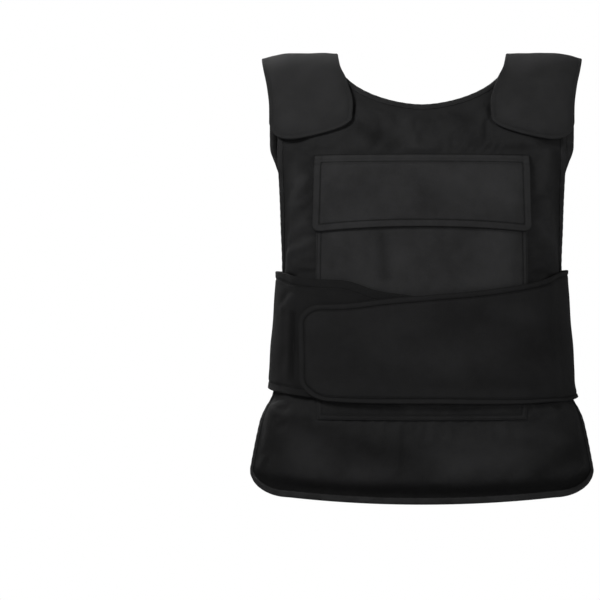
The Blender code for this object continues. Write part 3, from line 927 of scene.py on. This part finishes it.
def panel_wall(side, layout, sizes):
    """Faces of a panel on a layout, with normals, the distance from the rim and the relief."""
    x, z = layout[:2]
    turn = turn_at(x, z, side)
    base, normal = torso(turn, z), normals(torso, turn, z)
    away = border_distance(base)
    share = rounded(away, PANEL_RIM / 2.0)
    height, raised = panel_height(side, x, z, away, sizes)
    outer = base + normal * (PANEL_RIM / 2.0 * (1.0 - share) + (height + raised) * share)[..., None]
    inner = base + normal * (PANEL_RIM / 2.0 * (1.0 - share))[..., None]
    return outer, inner, normal, away, raised


def swelling(label, side, layout, sizes):
    """Swelling of a panel at the places of its fine layout, read from a coarse simulation."""
    coarse = panel_layout(label, CLOTH_STEP, CLOTH_STEP)
    outer, inner, normal, away = panel_wall(side, coarse, sizes)[:4]
    held = 1.0 - exposure(side, *coarse[:2]) * ease(away, TAPE_COVER, TAPE_COVER + CLOTH_STEP)
    moved = billow(outer, inner, normal, held, sizes)
    row = np.interp(layout[3], coarse[3], np.arange(len(coarse[3])))
    col = np.interp(layout[2], coarse[2], np.arange(len(coarse[2])))
    return between(moved[..., None], *np.meshgrid(row, col, indexing="ij"))[..., 0]


class Signal:
    """The value of a socket, for arithmetic: each step adds one Math node."""

    def __init__(self, tree, socket):
        """Keep the tree in the making and the output socket."""
        self.tree = tree
        self.socket = socket

    def step(self, operation, *values):
        """Add a Math node of the given operation."""
        return self.tree.add("ShaderNodeMath", {"operation": operation}, dict(enumerate(values)))

    def __add__(self, other):
        return self.step("ADD", self, other)

    def __radd__(self, other):
        return self.step("ADD", other, self)

    def __sub__(self, other):
        return self.step("SUBTRACT", self, other)

    def __rsub__(self, other):
        return self.step("SUBTRACT", other, self)

    def __mul__(self, other):
        return self.step("MULTIPLY", self, other)

    def __rmul__(self, other):
        return self.step("MULTIPLY", other, self)

    def __truediv__(self, other):
        return self.step("DIVIDE", self, other)

    def sine(self):
        """Sine of the value in radians."""
        return self.step("SINE", self)

    def power_of_e(self):
        """e to the power of the value."""
        return self.step("EXPONENT", self)


class Tree:
    """The nodes of a material or a world in the making."""

    def __init__(self, owner):
        """Give a material or a world its nodes."""
        owner.use_nodes = True
        self.nodes = owner.node_tree.nodes
        self.links = owner.node_tree.links

    def add(self, kind, settings, inputs, output=0):
        """Add a node of a kind, set its settings, fill its sockets, and return one output."""
        node = self.nodes.new(kind)
        for key, value in settings.items():
            setattr(node, key, value)
        for key, value in inputs.items():
            self.fill(node.inputs[key], value)
        return Signal(self, node.outputs[output])

    def fill(self, socket, value):
        """Link a signal to a socket, or set the socket's value."""
        if isinstance(value, Signal):
            self.links.new(value.socket, socket)
        else:
            socket.default_value = value


class Finish(Tree):
    """A material in the making, with its Principled shader."""

    def __init__(self, name):
        """Start a material with a shader and an output."""
        super().__init__(bpy.data.materials.new(name))
        self.shader = self.nodes["Principled BSDF"]

    def shade(self, **sockets):
        """Fill the shader's sockets by their names, with spaces written as underscores."""
        for key, value in sockets.items():
            self.fill(self.shader.inputs[key.replace("_", " ")], value)

    def place(self):
        """Read the place on the piece, in metres."""
        return self.add("ShaderNodeTexCoord", {}, {}, "Object")

    def mark(self, label):
        """Read a value that the mesh keeps for each point."""
        return self.add("ShaderNodeAttribute", {"attribute_name": label}, {}, "Fac")

    def part(self, vector, axis):
        """Take one part of a vector."""
        return self.add("ShaderNodeSeparateXYZ", {}, {"Vector": vector}, axis)

    def ribs(self, axis, pitch):
        """Ribs or threads: a sine along an axis of the flat layout, one turn to a pitch."""
        flat = self.add("ShaderNodeUVMap", {"uv_map": CLOTH_MAP}, {})
        return (self.part(flat, axis) * (2.0 * math.pi / pitch)).sine()

    def noise(self, place, kind):
        """Add a noise from minus a half to a half."""
        return self.add("ShaderNodeTexNoise", {}, {"Vector": place, **NOISES[kind]}) - 0.5

    def tint(self, colour, shade):
        """Mix the dark and the light form of a colour by a shade from 0 to 1."""
        settings = {"data_type": "RGBA", "clamp_factor": True}
        dark, light = scaled(colour, CLOTH_DARK), scaled(colour, CLOTH_LIGHT)
        inputs = {"Factor": shade, MIX_FIRST: dark, MIX_SECOND: light}
        return self.add("ShaderNodeMix", settings, inputs, MIX_COLOUR)

    def bump(self, height, distance):
        """Turn a height into a normal."""
        inputs = {"Height": height, "Distance": distance, "Strength": 1.0}
        return self.add("ShaderNodeBump", {}, inputs)


def sum_of(signals, shares):
    """Add signals, each one times its share."""
    first, *others = [signal * share for signal, share in zip(signals, shares)]
    for other in others:
        first = first + other
    return first


def scaled(colour, share):
    """A colour times a share, with its alpha."""
    return (*(share * part for part in colour), 1.0)


def cloth_finish(name, colour, roughness, weave, seams, painted_shadow_bands=()):
    """Woven cloth: crossed threads, soft blotches, a lighter edge, and painted light and shade.

    The shade is a sum: three noises, the weave, e to the minus of the distance from the edge
    (wear and a painted highlight), how far the cloth is raised (painted shade and light), and its
    place from hem to shoulder (painted shade, darker towards the hem). A bell of painted shade for
    each seam or edge line and each band is taken from it.
    """
    finish = Finish(name)
    place = finish.place()
    rim = finish.mark(RIM_MAP)
    height = finish.part(place, "Z")
    threads = finish.ribs("X", weave) * finish.ribs("Y", weave)
    blotch, rub, grain = (finish.noise(place, kind) for kind in ("blotch", "rub", "grain"))
    shares = (CLOTH_TONE_AND_PAINTED_SHADE[key] for key in ("blotch", "rub", "grain", "threads"))
    shade = 0.5 + sum_of((blotch, rub, grain, threads), shares)
    # A lighter edge: rubbed by wear, and a painted highlight on the rounded rim
    shade = shade + (rim * (-1.0 / EDGE_WEAR_AND_HIGHLIGHT)).power_of_e() * CLOTH_TONE_AND_PAINTED_SHADE["edge"]
    # Painted shade and light from the relief: darker where the cloth is pressed in, lighter where
    # raised
    shade = shade + finish.mark(RELIEF_SHADE_MAP) * CLOTH_TONE_AND_PAINTED_SHADE["raised"]
    # Painted shade: darker towards the hem, lighter towards the shoulders
    shade = shade + (height - CLOTH_PAINTED_FALLOFF["middle"]) * CLOTH_PAINTED_FALLOFF["share"]
    # Painted shade: a dark bell along each edge line and seam, and in each band
    for signal, rows in ((rim, seams), (height, painted_shadow_bands)):
        for middle, width, dark in rows:
            away = (signal - middle) / width
            shade = shade - (away * away * -1.0).power_of_e() * dark
    bumps = sum_of((rub, grain, threads), (CLOTH_BUMP[key] for key in ("rub", "grain", "threads")))
    finish.shade(
        Base_Color=finish.tint(colour, shade),
        Roughness=roughness + rub * CLOTH_ROUGHNESS_SPREAD,
        Normal=finish.bump(bumps, CLOTH_BUMP["distance"]),
        Specular_IOR_Level=CLOTH_SPECULAR,
    )


def tape_finish(name, colour, roughness, ribs):
    """Ribbed binding tape: its shade is a sum of a rubbed noise and the ribs' sine."""
    finish = Finish(name)
    place = finish.place()
    ridge = finish.ribs("X", ribs)
    rub, grain = finish.noise(place, "rub"), finish.noise(place, "grain")
    bumps = ridge * TAPE_BUMP["rib"] + grain * TAPE_BUMP["grain"]
    finish.shade(
        Base_Color=finish.tint(colour, 0.5 + rub * TAPE_SHADE["rub"] + ridge * TAPE_SHADE["rib"]),
        Roughness=roughness + rub * CLOTH_ROUGHNESS_SPREAD,
        Normal=finish.bump(bumps, TAPE_BUMP["distance"]),
        Specular_IOR_Level=TAPE_SPECULAR,
    )


def thread_finish(name, colour, roughness):
    """Sewing thread: slightly smooth, with a fine noise for its twist."""
    finish = Finish(name)
    grain = finish.noise(finish.place(), "twist") + 0.5
    finish.shade(
        Base_Color=finish.tint(colour, grain),
        Roughness=roughness,
        Normal=finish.bump(grain, TAPE_BUMP["distance"]),
        Specular_IOR_Level=TAPE_SPECULAR,
    )


def floor_finish(name, colour, roughness):
    """Even matt paint for the floor."""
    Finish(name).shade(
        Base_Color=scaled(colour, 1.0),
        Roughness=roughness,
        Specular_IOR_Level=CLOTH_SPECULAR,
    )


def finish_named(name):
    """Look a finish up by its name, and make it in the user's colour when it is first used."""
    label = name + "_finish"
    if label not in bpy.data.materials:
        maker, *values = FINISHES[name]
        maker(label, getattr(bpy.context.scene.vest_colours, name), *values)
    return bpy.data.materials[label]


# Noises of the finishes, how much each one shades the cloth, and how much it lifts it; the cloth's
# shares also hold its lighter edge (wear and painted highlight) and the relief's painted shade and
# light
NOISES = {
    "blotch": {"Scale": 9.0, "Detail": 3.0},
    "rub": {"Scale": 60.0, "Detail": 4.0},
    "grain": {"Scale": 900.0, "Detail": 2.0},
    "twist": {"Scale": 1500.0, "Detail": 2.0},
}
CLOTH_TONE_AND_PAINTED_SHADE = {
    "blotch": 0.30, "rub": 0.40, "grain": 0.5, "threads": 0.12, "edge": 0.30, "raised": 0.30,
}
CLOTH_BUMP = {"rub": 0.6, "grain": 0.7, "threads": 0.3, "distance": 0.00035}
# Painted shade by height: the cloth gets darker towards the hem, as if the light fell off
CLOTH_PAINTED_FALLOFF = {"middle": -0.22, "share": 0.30}
CLOTH_DARK = 0.2
CLOTH_LIGHT = 1.8
CLOTH_ROUGHNESS_SPREAD = 0.12
CLOTH_SPECULAR = 0.12
# Width of the lighter edge: wear, and a painted highlight where the rounded rim catches light
EDGE_WEAR_AND_HIGHLIGHT = 0.0011
TAPE_SHADE = {"rub": 1.1, "rib": 0.12}
TAPE_BUMP = {"rib": 0.4, "grain": 0.6, "distance": 0.0003}
TAPE_SPECULAR = 0.15

# Each finish: its maker, roughness, pitch of its weave or ribs, a row for each line of painted
# shade along an edge or a seam, with its distance from the edge, its width and how dark it is,
# and a row for each band of painted shadow with the band's height, its width and how dark it is
FINISHES = {
    "shell": (cloth_finish, 0.80, 0.0009, ()),
    # Rows at distance 0.0 paint a shadow line along the edge; the others paint shade in a seam's
    # groove
    "strap": (cloth_finish, 0.78, 0.0009, ((0.0, 0.0010, 0.4), (0.0060, 0.0010, 0.06))),
    "pocket": (
        cloth_finish, 0.78, 0.0008, ((0.0016, 0.0006, 0.4), (0.0072, 0.0007, 0.5)),
        # Painted shadow below the waist flaps, darkest at the pocket's foot
        ((POCKET_BOTTOM_Z, 0.070, 0.22),),
    ),
    # The wide dark edge row paints the contact shadow round the pocket's flap
    "pocket_cover": (cloth_finish, 0.78, 0.0008, ((0.0, 0.0016, 0.9), (0.0110, 0.0008, 0.45))),
    "over_flap": (cloth_finish, 0.85, 0.0010, ((0.0, 0.0014, 0.5), (0.0087, 0.0014, 0.35))),
    "under_flap": (cloth_finish, 0.85, 0.0010, ((0.0, 0.0012, 0.4), (0.0125, 0.0012, 0.3))),
    "tape": (tape_finish, 0.72, 0.0011),
    "thread": (thread_finish, 0.55),
    "floor": (floor_finish, 0.90),
}


def make_panel(label, side, sizes):
    """Make a padded panel."""
    layout = panel_layout(label, PANEL_STEP, PANEL_FINE)
    outer, inner, normal, away, raised = panel_wall(side, layout, sizes)
    swell = swelling(label, side, layout, sizes) * ease(away, TAPE_COVER, OPEN_FULL)
    outer = outer + normal * swell[..., None]
    pad = cloth_wall(label + "_pad", outer, inner, away, raised, finish_named("shell"))
    return pad


def make_tape(label, side, sizes):
    """Make the tape folded over a panel's rim, and the rows of stitches through it.

    The rim's middle line runs all the way round. The section is set off from it along the
    body's surface and away from the body, and follows the surface's bend.
    """
    half = panel_outline(label)
    loop = np.concatenate((half, half[-2:0:-1] * (-1.0, 1.0)))
    loop = np.roll(loop, -nearest(loop, tab_corner(label)), axis=0)
    loop = np.concatenate((loop, loop[:1]))
    along = walked(torso(turn_at(*loop.T, side), loop[:, 1]))
    count = round(along[-1] / TAPE_STEP)
    places = np.linspace(0.0, along[-1], count + 1)[:-1]
    x, z = (np.interp(places, along, part) for part in loop.T)
    turn = turn_at(x, z, side)
    base, up = torso(turn, z), normals(torso, turn, z)
    ahead = unit(np.roll(base, -1, axis=0) - np.roll(base, 1, axis=0))
    outward = -side * unit(np.cross(ahead, up))
    inside = base - TAPE_COVER * outward
    form = torso(turn_at(inside[:, 0], inside[:, 2], side), inside[:, 2])
    sag = np.sum((form - inside) * up, axis=-1)[:, None]

    out_wide, out_high = TAPE_OUTSIDE.values()
    in_wide, in_high = TAPE_INSIDE.values()
    wide = np.concatenate((out_wide, out_wide[::-1], in_wide[::-1], in_wide))
    high = np.concatenate((out_high, -out_high[::-1], -in_high[::-1], in_high))
    face = np.repeat((1.0, 0.0), (2 * len(out_high), 2 * len(in_high)))
    drift = PUCKER_DRIFT["size"] * np.sin(places * PUCKER_DRIFT["rate"])
    pucker = PUCKER * np.sin(2.0 * math.pi * places / PUCKER_PITCH + drift)
    pucker = face * pucker[:, None]
    wide = wide + pucker * (wide < PUCKER_EDGE)
    high = high + np.sign(high) * pucker * PUCKER_LIFT + sag * (wide / TAPE_COVER) ** 2
    centre = base + PANEL_RIM / 2.0 * up
    points = centre[:, None] + wide[..., None] * outward[:, None] + high[..., None] * up[:, None]

    sections, corners = points.shape[:2]
    index = np.arange(sections * corners).reshape(sections, corners)
    index = np.concatenate((index, index[:1]))
    index = np.concatenate((index, index[:, :1]), axis=1)
    faces = quads(index)
    if side == BACK:
        faces = faces[:, ::-1]
    around = walked(np.stack((out_wide, out_high), axis=-1))
    around = np.concatenate((around, 2.0 * around[-1] - around[::-1], np.zeros(2 * len(in_high))))
    flat = np.stack(np.broadcast_arrays(places[:, None], around[None]), axis=-1).reshape(-1, 2)
    tape = mesh_object(
        label + "_tape", points, faces.tolist(), flat[faces], {}, finish_named("tape")
    )
    row = centre - STITCH_INSET * outward
    lines = []
    for face in (1.0, -1.0):
        line = row + face * STITCH_HEIGHT * up
        lines.append((np.concatenate((line, line[:1])), face * np.concatenate((up, up[:1]))))
    stitch_run(label + "_tape", lines, sizes)
    return tape


def strap_places(hand):
    """Grid of x and climb of a strap, from its rounded front end to its back end."""
    across = sheet_stations(STRAP_WIDTH)[None] / STRAP_WIDTH
    along = sheet_stations(STRAP_LENGTH)[:, None] / STRAP_LENGTH
    end = across ** STRAP_END_INNER_ROUND * np.sqrt(1.0 - across ** STRAP_END_OUTER_ROUND)
    end_z = STRAP_END_Z - STRAP_END_DIP * end
    scale = crest(STRAP_MIDDLE) - CHEST_Z
    start = oval_turn((end_z - CHEST_Z) / scale, SHOULDER_POWER)
    finish = math.pi - oval_turn((STRAP_BACK_Z - CHEST_Z) / scale, SHOULDER_POWER)
    climb = start + along * (finish - start)
    height = CHEST_Z + oval(climb, SHOULDER_POWER)[0] * scale
    inner = read(STRAP_SIDES, "inner", height)
    outer = read(STRAP_SIDES, "outer", height)
    x = hand * (inner + (outer - inner) * across)
    low = ease(-height, -STRAP_LOW_Z, -STRAP_HIGH_Z)
    lift = STRAP_LIFT_CREST + (STRAP_LIFT_CHEST - STRAP_LIFT_CREST) * low
    return x, climb, lift


def make_strap(name, hand, sizes):
    """Make a shoulder strap with a stitched edge."""
    x, climb, lift = strap_places(hand)

    def relief(away):
        puff = STRAP_PUFF["height"] + waves(
            x * STRAP_WAVES["across"], climb * STRAP_WAVES["climb"], STRAP_WAVES["height"]
        )
        puff = puff * ease(away, STRAP_PUFF["start"], STRAP_PUFF["full"])
        return puff - groove(away, **STRAP_SEAM)

    strap, wall = sheet_piece(
        name, shoulder, x, climb, lift, STRAP_THICKNESS, relief, finish_named("strap")
    )
    lines = [seam_line(wall, STRAP_SEAM["inset"], ("left", "bottom", "right", "top"))]
    stitch_run(name, lines, sizes)
    return strap


def make_pocket(sizes):
    """Make the flat pocket and its double row of stitches."""
    width, height = 2.0 * POCKET_HALF_WIDTH, POCKET_TOP_Z - POCKET_BOTTOM_Z
    x = sheet_stations(width)[None] - POCKET_HALF_WIDTH
    z = sheet_stations(height)[:, None] + POCKET_BOTTOM_Z
    x, z = np.broadcast_arrays(x, z)
    shown = 1.0 - within(z, WAIST_COVER_LOW, POCKET_SHOWN["waist_flaps"], POCKET_SHOWN["soft"])
    shown = shown * ease(-z, -POCKET_SHOWN["under_flap"], -POCKET_SHOWN["below_flap"])

    def relief(away):
        dent = folds(POCKET_FOLDS, x, z) + waves(x, z, POCKET_WAVE)
        dent = dent * ease(away, FOLDS_START, FOLDS_FULL) - grooves(away, POCKET_SEAMS)
        # The foot below the waist flaps is pressed flatter, and the finish paints that as shade
        # under the flaps
        foot = ease(-z, -WAIST_COVER_LOW - COVER_SOFT, -WAIST_COVER_LOW)
        flat = POCKET_FOOT["depth"] * foot * ease(away, POCKET_FOOT["start"], POCKET_FOOT["full"])
        return shown * (dent - flat)

    lift = np.full(x.shape, POCKET_LIFT)
    pocket, wall = sheet_piece(
        "pocket", torso, turn_at(x, z, FRONT), z, lift, POCKET_THICKNESS, relief,
        finish_named("pocket"),
    )
    sewn = ("left", "bottom", "right")
    lines = [seam_line(wall, inset, sewn) for inset in POCKET_SEAMS["inset"]]
    stitch_run("pocket", lines, sizes)
    return pocket


def make_pocket_flap(sizes):
    """Make the flap over the pocket's mouth, with an arched lower edge and round corners."""
    half = FLAP_HALF_WIDTH
    x = sheet_stations(2.0 * half) - half
    low = FLAP_MIDDLE_Z + (FLAP_SIDE_Z - FLAP_MIDDLE_Z) * (x / half) ** 2
    low = low + FLAP_CORNER * (1.0 - rounded(half - np.abs(x), FLAP_CORNER))
    height = FLAP_TOP_Z - FLAP_MIDDLE_Z
    up = sheet_stations(height)[:, None] / height
    z = low + up * (FLAP_TOP_Z - low)
    x = np.broadcast_to(x, z.shape)
    lift = FLAP_LIFT - (FLAP_LIFT - POCKET_LIFT) * ease(z, POCKET_TOP_Z + MOUTH_MARGIN, FLAP_TOP_Z)
    inset = np.minimum(half - np.abs(x), z - low)

    def relief(away):
        pressed = groove(inset, **COVER_SEAM) + grooves(FLAP_TOP_Z - z, COVER_TOP_SEAMS)
        wave = waves(x, z * COVER_WAVES["up"], COVER_WAVES["height"])
        puff = folds(POCKET_FLAP_FOLDS, x, z) + wave
        return puff * ease(away, FOLDS_START, FOLDS_FULL) - pressed

    flap, wall = sheet_piece(
        "pocket_cover", torso, turn_at(x, z, FRONT), z, lift, FLAP_THICKNESS, relief,
        finish_named("pocket_cover"),
    )
    lines = [seam_line(wall, COVER_SEAM["inset"], ("left", "bottom", "right"))]
    lines += [seam_line(wall, inset, ("top",)) for inset in COVER_TOP_SEAMS["inset"]]
    stitch_run("pocket_cover", lines, sizes)
    return flap


def under_lift(reach):
    """Lift of the under flap: close at the side, higher on the pocket and on the padded back."""
    on_pocket = ease(-reach, -POCKET_STEP_END, -POCKET_STEP_START)
    on_back = ease(reach, BACK_STEP_START, BACK_STEP_END)
    lift = WAIST_LIFT_SIDE + (WAIST_LIFT_POCKET - WAIST_LIFT_SIDE) * on_pocket
    return lift + (WAIST_LIFT_BACK - WAIST_LIFT_SIDE) * on_back


def over_lift(reach):
    """Lift of the over flap: as the under flap, and a step higher where it lies on that flap."""
    on_flap = ease(-reach, UNDER_TIP - OVERLAP_STEP, UNDER_TIP - OVERLAP_MARGIN)
    return under_lift(reach) * (1.0 - on_flap) + WAIST_LIFT_OVER * on_flap


def waist_places(tip, edges, corner_top, corner_bottom):
    """Grid of reach and height of a flap; its tip's corners are quarter circles."""
    length = WRAP_FROM + WRAP_LENGTH - tip
    reach = tip + sheet_stations(length)
    top = read(edges, "top", reach) - corner_top * (1.0 - rounded(reach - tip, corner_top))
    bottom = corner_bottom * (1.0 - rounded(reach - tip, corner_bottom))
    bottom = bottom + read(edges, "bottom", reach)
    height = (top - bottom).max()
    up = sheet_stations(height)[:, None] / height
    z = bottom + up * (top - bottom)
    return np.broadcast_to(reach, z.shape), z


def waist_turn(reach, z):
    """Turn on the form: it follows x on the front, then runs evenly round the side."""
    turn = turn_at(np.minimum(reach, WRAP_FROM), z, FRONT)
    share = np.clip((reach - WRAP_FROM) / WRAP_LENGTH, 0.0, 1.0)
    return turn + share * (WRAP_TURN - turn)


def make_waist_flap(name, hand, places, lift, seam, shown, table, cloth, sizes):
    """Make a flap that wraps the waist, with a seam all round it."""
    reach, z = places

    def relief(away):
        puff = WAIST_EDGE_PUFF * ease(-away, -seam["inset"], -seam["inset"] + seam["width"])
        wave = waves(reach, z * WAIST_WAVES["up"], WAIST_WAVES["height"])
        body = folds(table, reach, z) + wave
        body = body * ease(away, seam["inset"], seam["inset"] + WAIST_SOFT)
        return shown * (body + puff - groove(away, **seam))

    flap, wall = sheet_piece(
        name, torso, hand * waist_turn(reach, z), z, lift(reach), WAIST_THICKNESS, relief,
        finish_named(cloth),
    )
    sewn = ("top", "left", "bottom", "right")
    lines = [seam_line(wall, seam["inset"] + WAIST_STITCH, sewn)]
    stitch_run(name, lines, sizes)
    return flap


def length_setting(name, description, default):
    """A size in metres that the user may change."""
    return FloatProperty(
        name=name, description=description, default=default, min=0.0, unit="LENGTH"
    )


def number_setting(name, description, default):
    """A plain number that the user may change."""
    return FloatProperty(name=name, description=description, default=default, min=0.0)


def colour_setting(name, description, level):
    """A near-neutral colour of a linear level that the user may change."""
    shades = (level, level, level * COOL_BLUE)
    return FloatVectorProperty(
        name=name, description=description, default=shades, min=0.0, max=1.0, subtype="COLOR"
    )


class VestSizes(bpy.types.PropertyGroup):
    """Sizes that a user would change."""

    stitch_pitch: length_setting("Stitch pitch", "From a stitch to the next one", 0.0036)
    stitch_length: length_setting("Stitch length", "Length of a stitch on the cloth", 0.0030)
    thread_width: length_setting("Thread width", "Thickness of the sewing thread", 0.0008)
    wave_height: length_setting("Wave height", "Height of the soft waves of the panels", 0.0012)
    swell_limit: length_setting("Swell limit", "Furthest that the padding may move", 0.0060)
    cloth_spare: number_setting("Spare cloth", "Share added to the panels' cloth", 0.03)
    padding_pressure: number_setting("Padding pressure", "Pressure that fills the panels", 4.0)


class VestColours(bpy.types.PropertyGroup):
    """Colours that a user would change."""

    shell: colour_setting("Shell", "Cover cloth of the panels", 0.0098)
    strap: colour_setting("Straps", "Cloth of the shoulder straps", 0.0122)
    pocket: colour_setting("Pocket", "Cloth of the pocket", 0.0168)
    pocket_cover: colour_setting("Pocket flap", "Cloth of the pocket's flap", 0.0166)
    over_flap: colour_setting("Over flap", "Brushed cloth of the upper waist flap", 0.0082)
    under_flap: colour_setting("Under flap", "Brushed cloth of the lower waist flap", 0.0056)
    tape: colour_setting("Tape", "Binding tape", 0.0105)
    thread: colour_setting("Thread", "Sewing thread", 0.0090)
    floor: colour_setting("Floor", "Paint of the floor", 0.7000)


class VEST_OT_panels(bpy.types.Operator):
    """Make the padded front and back panels"""

    bl_idname = "vest.panels"
    bl_label = "Padded panels"

    def execute(self, context):
        """Make each panel in place of its solid."""
        sizes = context.scene.vest_sizes
        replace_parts(make_panel("front", FRONT, sizes), "front_panel")
        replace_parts(make_panel("back", BACK, sizes), "back_panel")
        return {"FINISHED"}


class VEST_OT_tapes(bpy.types.Operator):
    """Fold the binding tapes over the panels' rims"""

    bl_idname = "vest.tapes"
    bl_label = "Binding tapes"

    def execute(self, context):
        """Make each tape in place of its solid."""
        sizes = context.scene.vest_sizes
        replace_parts(make_tape("front", FRONT, sizes), "front_binding")
        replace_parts(make_tape("back", BACK, sizes), "back_binding")
        return {"FINISHED"}


class VEST_OT_straps(bpy.types.Operator):
    """Lay the two shoulder straps over the shoulders"""

    bl_idname = "vest.straps"
    bl_label = "Shoulder straps"

    def execute(self, context):
        """Make the right strap and its mirror image."""
        for name, hand in (("right", -1.0), ("left", 1.0)):
            strap = make_strap("strap_" + name, hand, context.scene.vest_sizes)
            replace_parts(strap, "shoulder_strap_" + name)
        return {"FINISHED"}


class VEST_OT_pocket(bpy.types.Operator):
    """Sew the pocket on the front panel"""

    bl_idname = "vest.pocket"
    bl_label = "Pocket"

    def execute(self, context):
        """Make the pocket in place of its solid."""
        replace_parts(make_pocket(context.scene.vest_sizes), "pocket_body")
        return {"FINISHED"}


class VEST_OT_pocket_flap(bpy.types.Operator):
    """Hang the flap over the pocket's mouth"""

    bl_idname = "vest.pocket_flap"
    bl_label = "Pocket flap"

    def execute(self, context):
        """Make the pocket's flap in place of its solid."""
        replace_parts(make_pocket_flap(context.scene.vest_sizes), "pocket_flap")
        return {"FINISHED"}


class VEST_OT_waist_flaps(bpy.types.Operator):
    """Wrap the two side flaps round the waist"""

    bl_idname = "vest.waist_flaps"
    bl_label = "Waist flaps"

    def execute(self, context):
        """Make the under flap, then the over flap that lies on it."""
        sizes = context.scene.vest_sizes
        under = waist_places(UNDER_TIP, UNDER_EDGES, UNDER_CORNER, UNDER_CORNER)
        shown = ease(under[0], UNDER_SHOWN_FROM, UNDER_SHOWN_FULL)
        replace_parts(make_waist_flap(
            "waist_under", -1.0, under, under_lift, UNDER_SEAM, shown, UNDER_FOLDS,
            "under_flap", sizes,
        ), "waist_flap_under")
        over = waist_places(OVER_TIP, OVER_EDGES, OVER_CORNER_TOP, OVER_CORNER_BOTTOM)
        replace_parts(make_waist_flap(
            "waist_over", 1.0, over, over_lift, OVER_SEAM, 1.0, OVER_FOLDS,
            "over_flap", sizes,
        ), "waist_flap_over")
        return {"FINISHED"}


def make_world():
    """Make a white backdrop whose light on the vest is softer than it looks."""
    world = bpy.data.worlds.new("studio")
    tree = Tree(world)
    light, backdrop = (
        tree.add("ShaderNodeBackground", {}, {"Color": WHITE, "Strength": strength})
        for strength in (AMBIENT_STRENGTH, BACKDROP_STRENGTH)
    )
    seen = tree.add("ShaderNodeLightPath", {}, {}, "Is Camera Ray")
    mixed = tree.add("ShaderNodeMixShader", {}, {0: seen, 1: light, 2: backdrop})
    tree.fill(tree.nodes["World Output"].inputs["Surface"], mixed)
    return world


def aimed(name, data, place, aim):
    """Put a lamp or the camera at a place, turned towards another place."""
    made = bpy.data.objects.new(name, data)
    made.location = place
    made.rotation_euler = (Vector(aim) - made.location).to_track_quat("-Z", "Y").to_euler()
    bpy.context.scene.collection.objects.link(made)
    return made


class VEST_OT_stage(bpy.types.Operator):
    """Set up the floor, the light and the camera"""

    bl_idname = "vest.stage"
    bl_label = "Stage"

    def execute(self, context):
        """Make the stage round the vest."""
        scene = context.scene
        turn = np.linspace(0.0, 2.0 * math.pi, FLOOR_SIDES, endpoint=False)
        rim = FLOOR_RADIUS * np.stack((np.cos(turn), np.sin(turn), 0.0 * turn), axis=-1)
        mesh = bpy.data.meshes.new("floor")
        mesh.from_pydata((rim + (0.0, 0.0, FLOOR_Z)).tolist(), [], [list(range(FLOOR_SIDES))])
        mesh.materials.append(finish_named("floor"))
        floor = bpy.data.objects.new("floor", mesh)
        scene.collection.objects.link(floor)

        scene.world = make_world()
        for name, place, size, power in LIGHTS:
            light = bpy.data.lights.new(name, "AREA")
            light.size = size
            light.energy = power
            aimed(name, light, place, (0.0, 0.0, VIEW_Z))

        camera = bpy.data.cameras.new("camera")
        camera.sensor_width = SENSOR_MM
        camera.lens = SENSOR_MM / 2.0 * (VIEW_DISTANCE + VIEW_PLANE_Y) / VIEW_HALF_WIDTH
        camera.clip_end = VIEW_END
        place, aim = (0.0, -VIEW_DISTANCE, VIEW_Z), (VIEW_X, VIEW_PLANE_Y, VIEW_Z)
        scene.camera = aimed("camera", camera, place, aim)
        scene.view_settings.view_transform = "Standard"
        return {"FINISHED"}


class VEST_PT_panel(bpy.types.Panel):
    """Lists the vest's pieces and their sizes"""

    bl_label = "Stab vest"
    bl_idname = "VEST_PT_panel"
    bl_space_type = "VIEW_3D"
    bl_region_type = "UI"
    bl_category = "Vest"

    def draw(self, context):
        """Draw the sizes and the colours, then a button for each operator."""
        for group in (context.scene.vest_sizes, context.scene.vest_colours):
            for name in type(group).__annotations__:
                self.layout.prop(group, name)
        for operator in OPERATORS:
            self.layout.operator(operator.bl_idname)


OPERATORS = (
    VEST_OT_panels,
    VEST_OT_tapes,
    VEST_OT_straps,
    VEST_OT_pocket,
    VEST_OT_pocket_flap,
    VEST_OT_waist_flaps,
    VEST_OT_stage,
)
CLASSES = (VestSizes, VestColours, *OPERATORS, VEST_PT_panel)


def register():
    """Register the classes and the scene's two groups."""
    for item in CLASSES:
        bpy.utils.register_class(item)
    bpy.types.Scene.vest_sizes = PointerProperty(type=VestSizes)
    bpy.types.Scene.vest_colours = PointerProperty(type=VestColours)


def unregister():
    """Take the groups and the classes away again."""
    del bpy.types.Scene.vest_colours
    del bpy.types.Scene.vest_sizes
    for item in reversed(CLASSES):
        bpy.utils.unregister_class(item)


def main():
    """Make the whole vest."""
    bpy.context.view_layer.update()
    register()
    for operator in OPERATORS:
        group, name = operator.bl_idname.split(".")
        getattr(getattr(bpy.ops, group), name)()


if __name__ == "__main__":
    main()
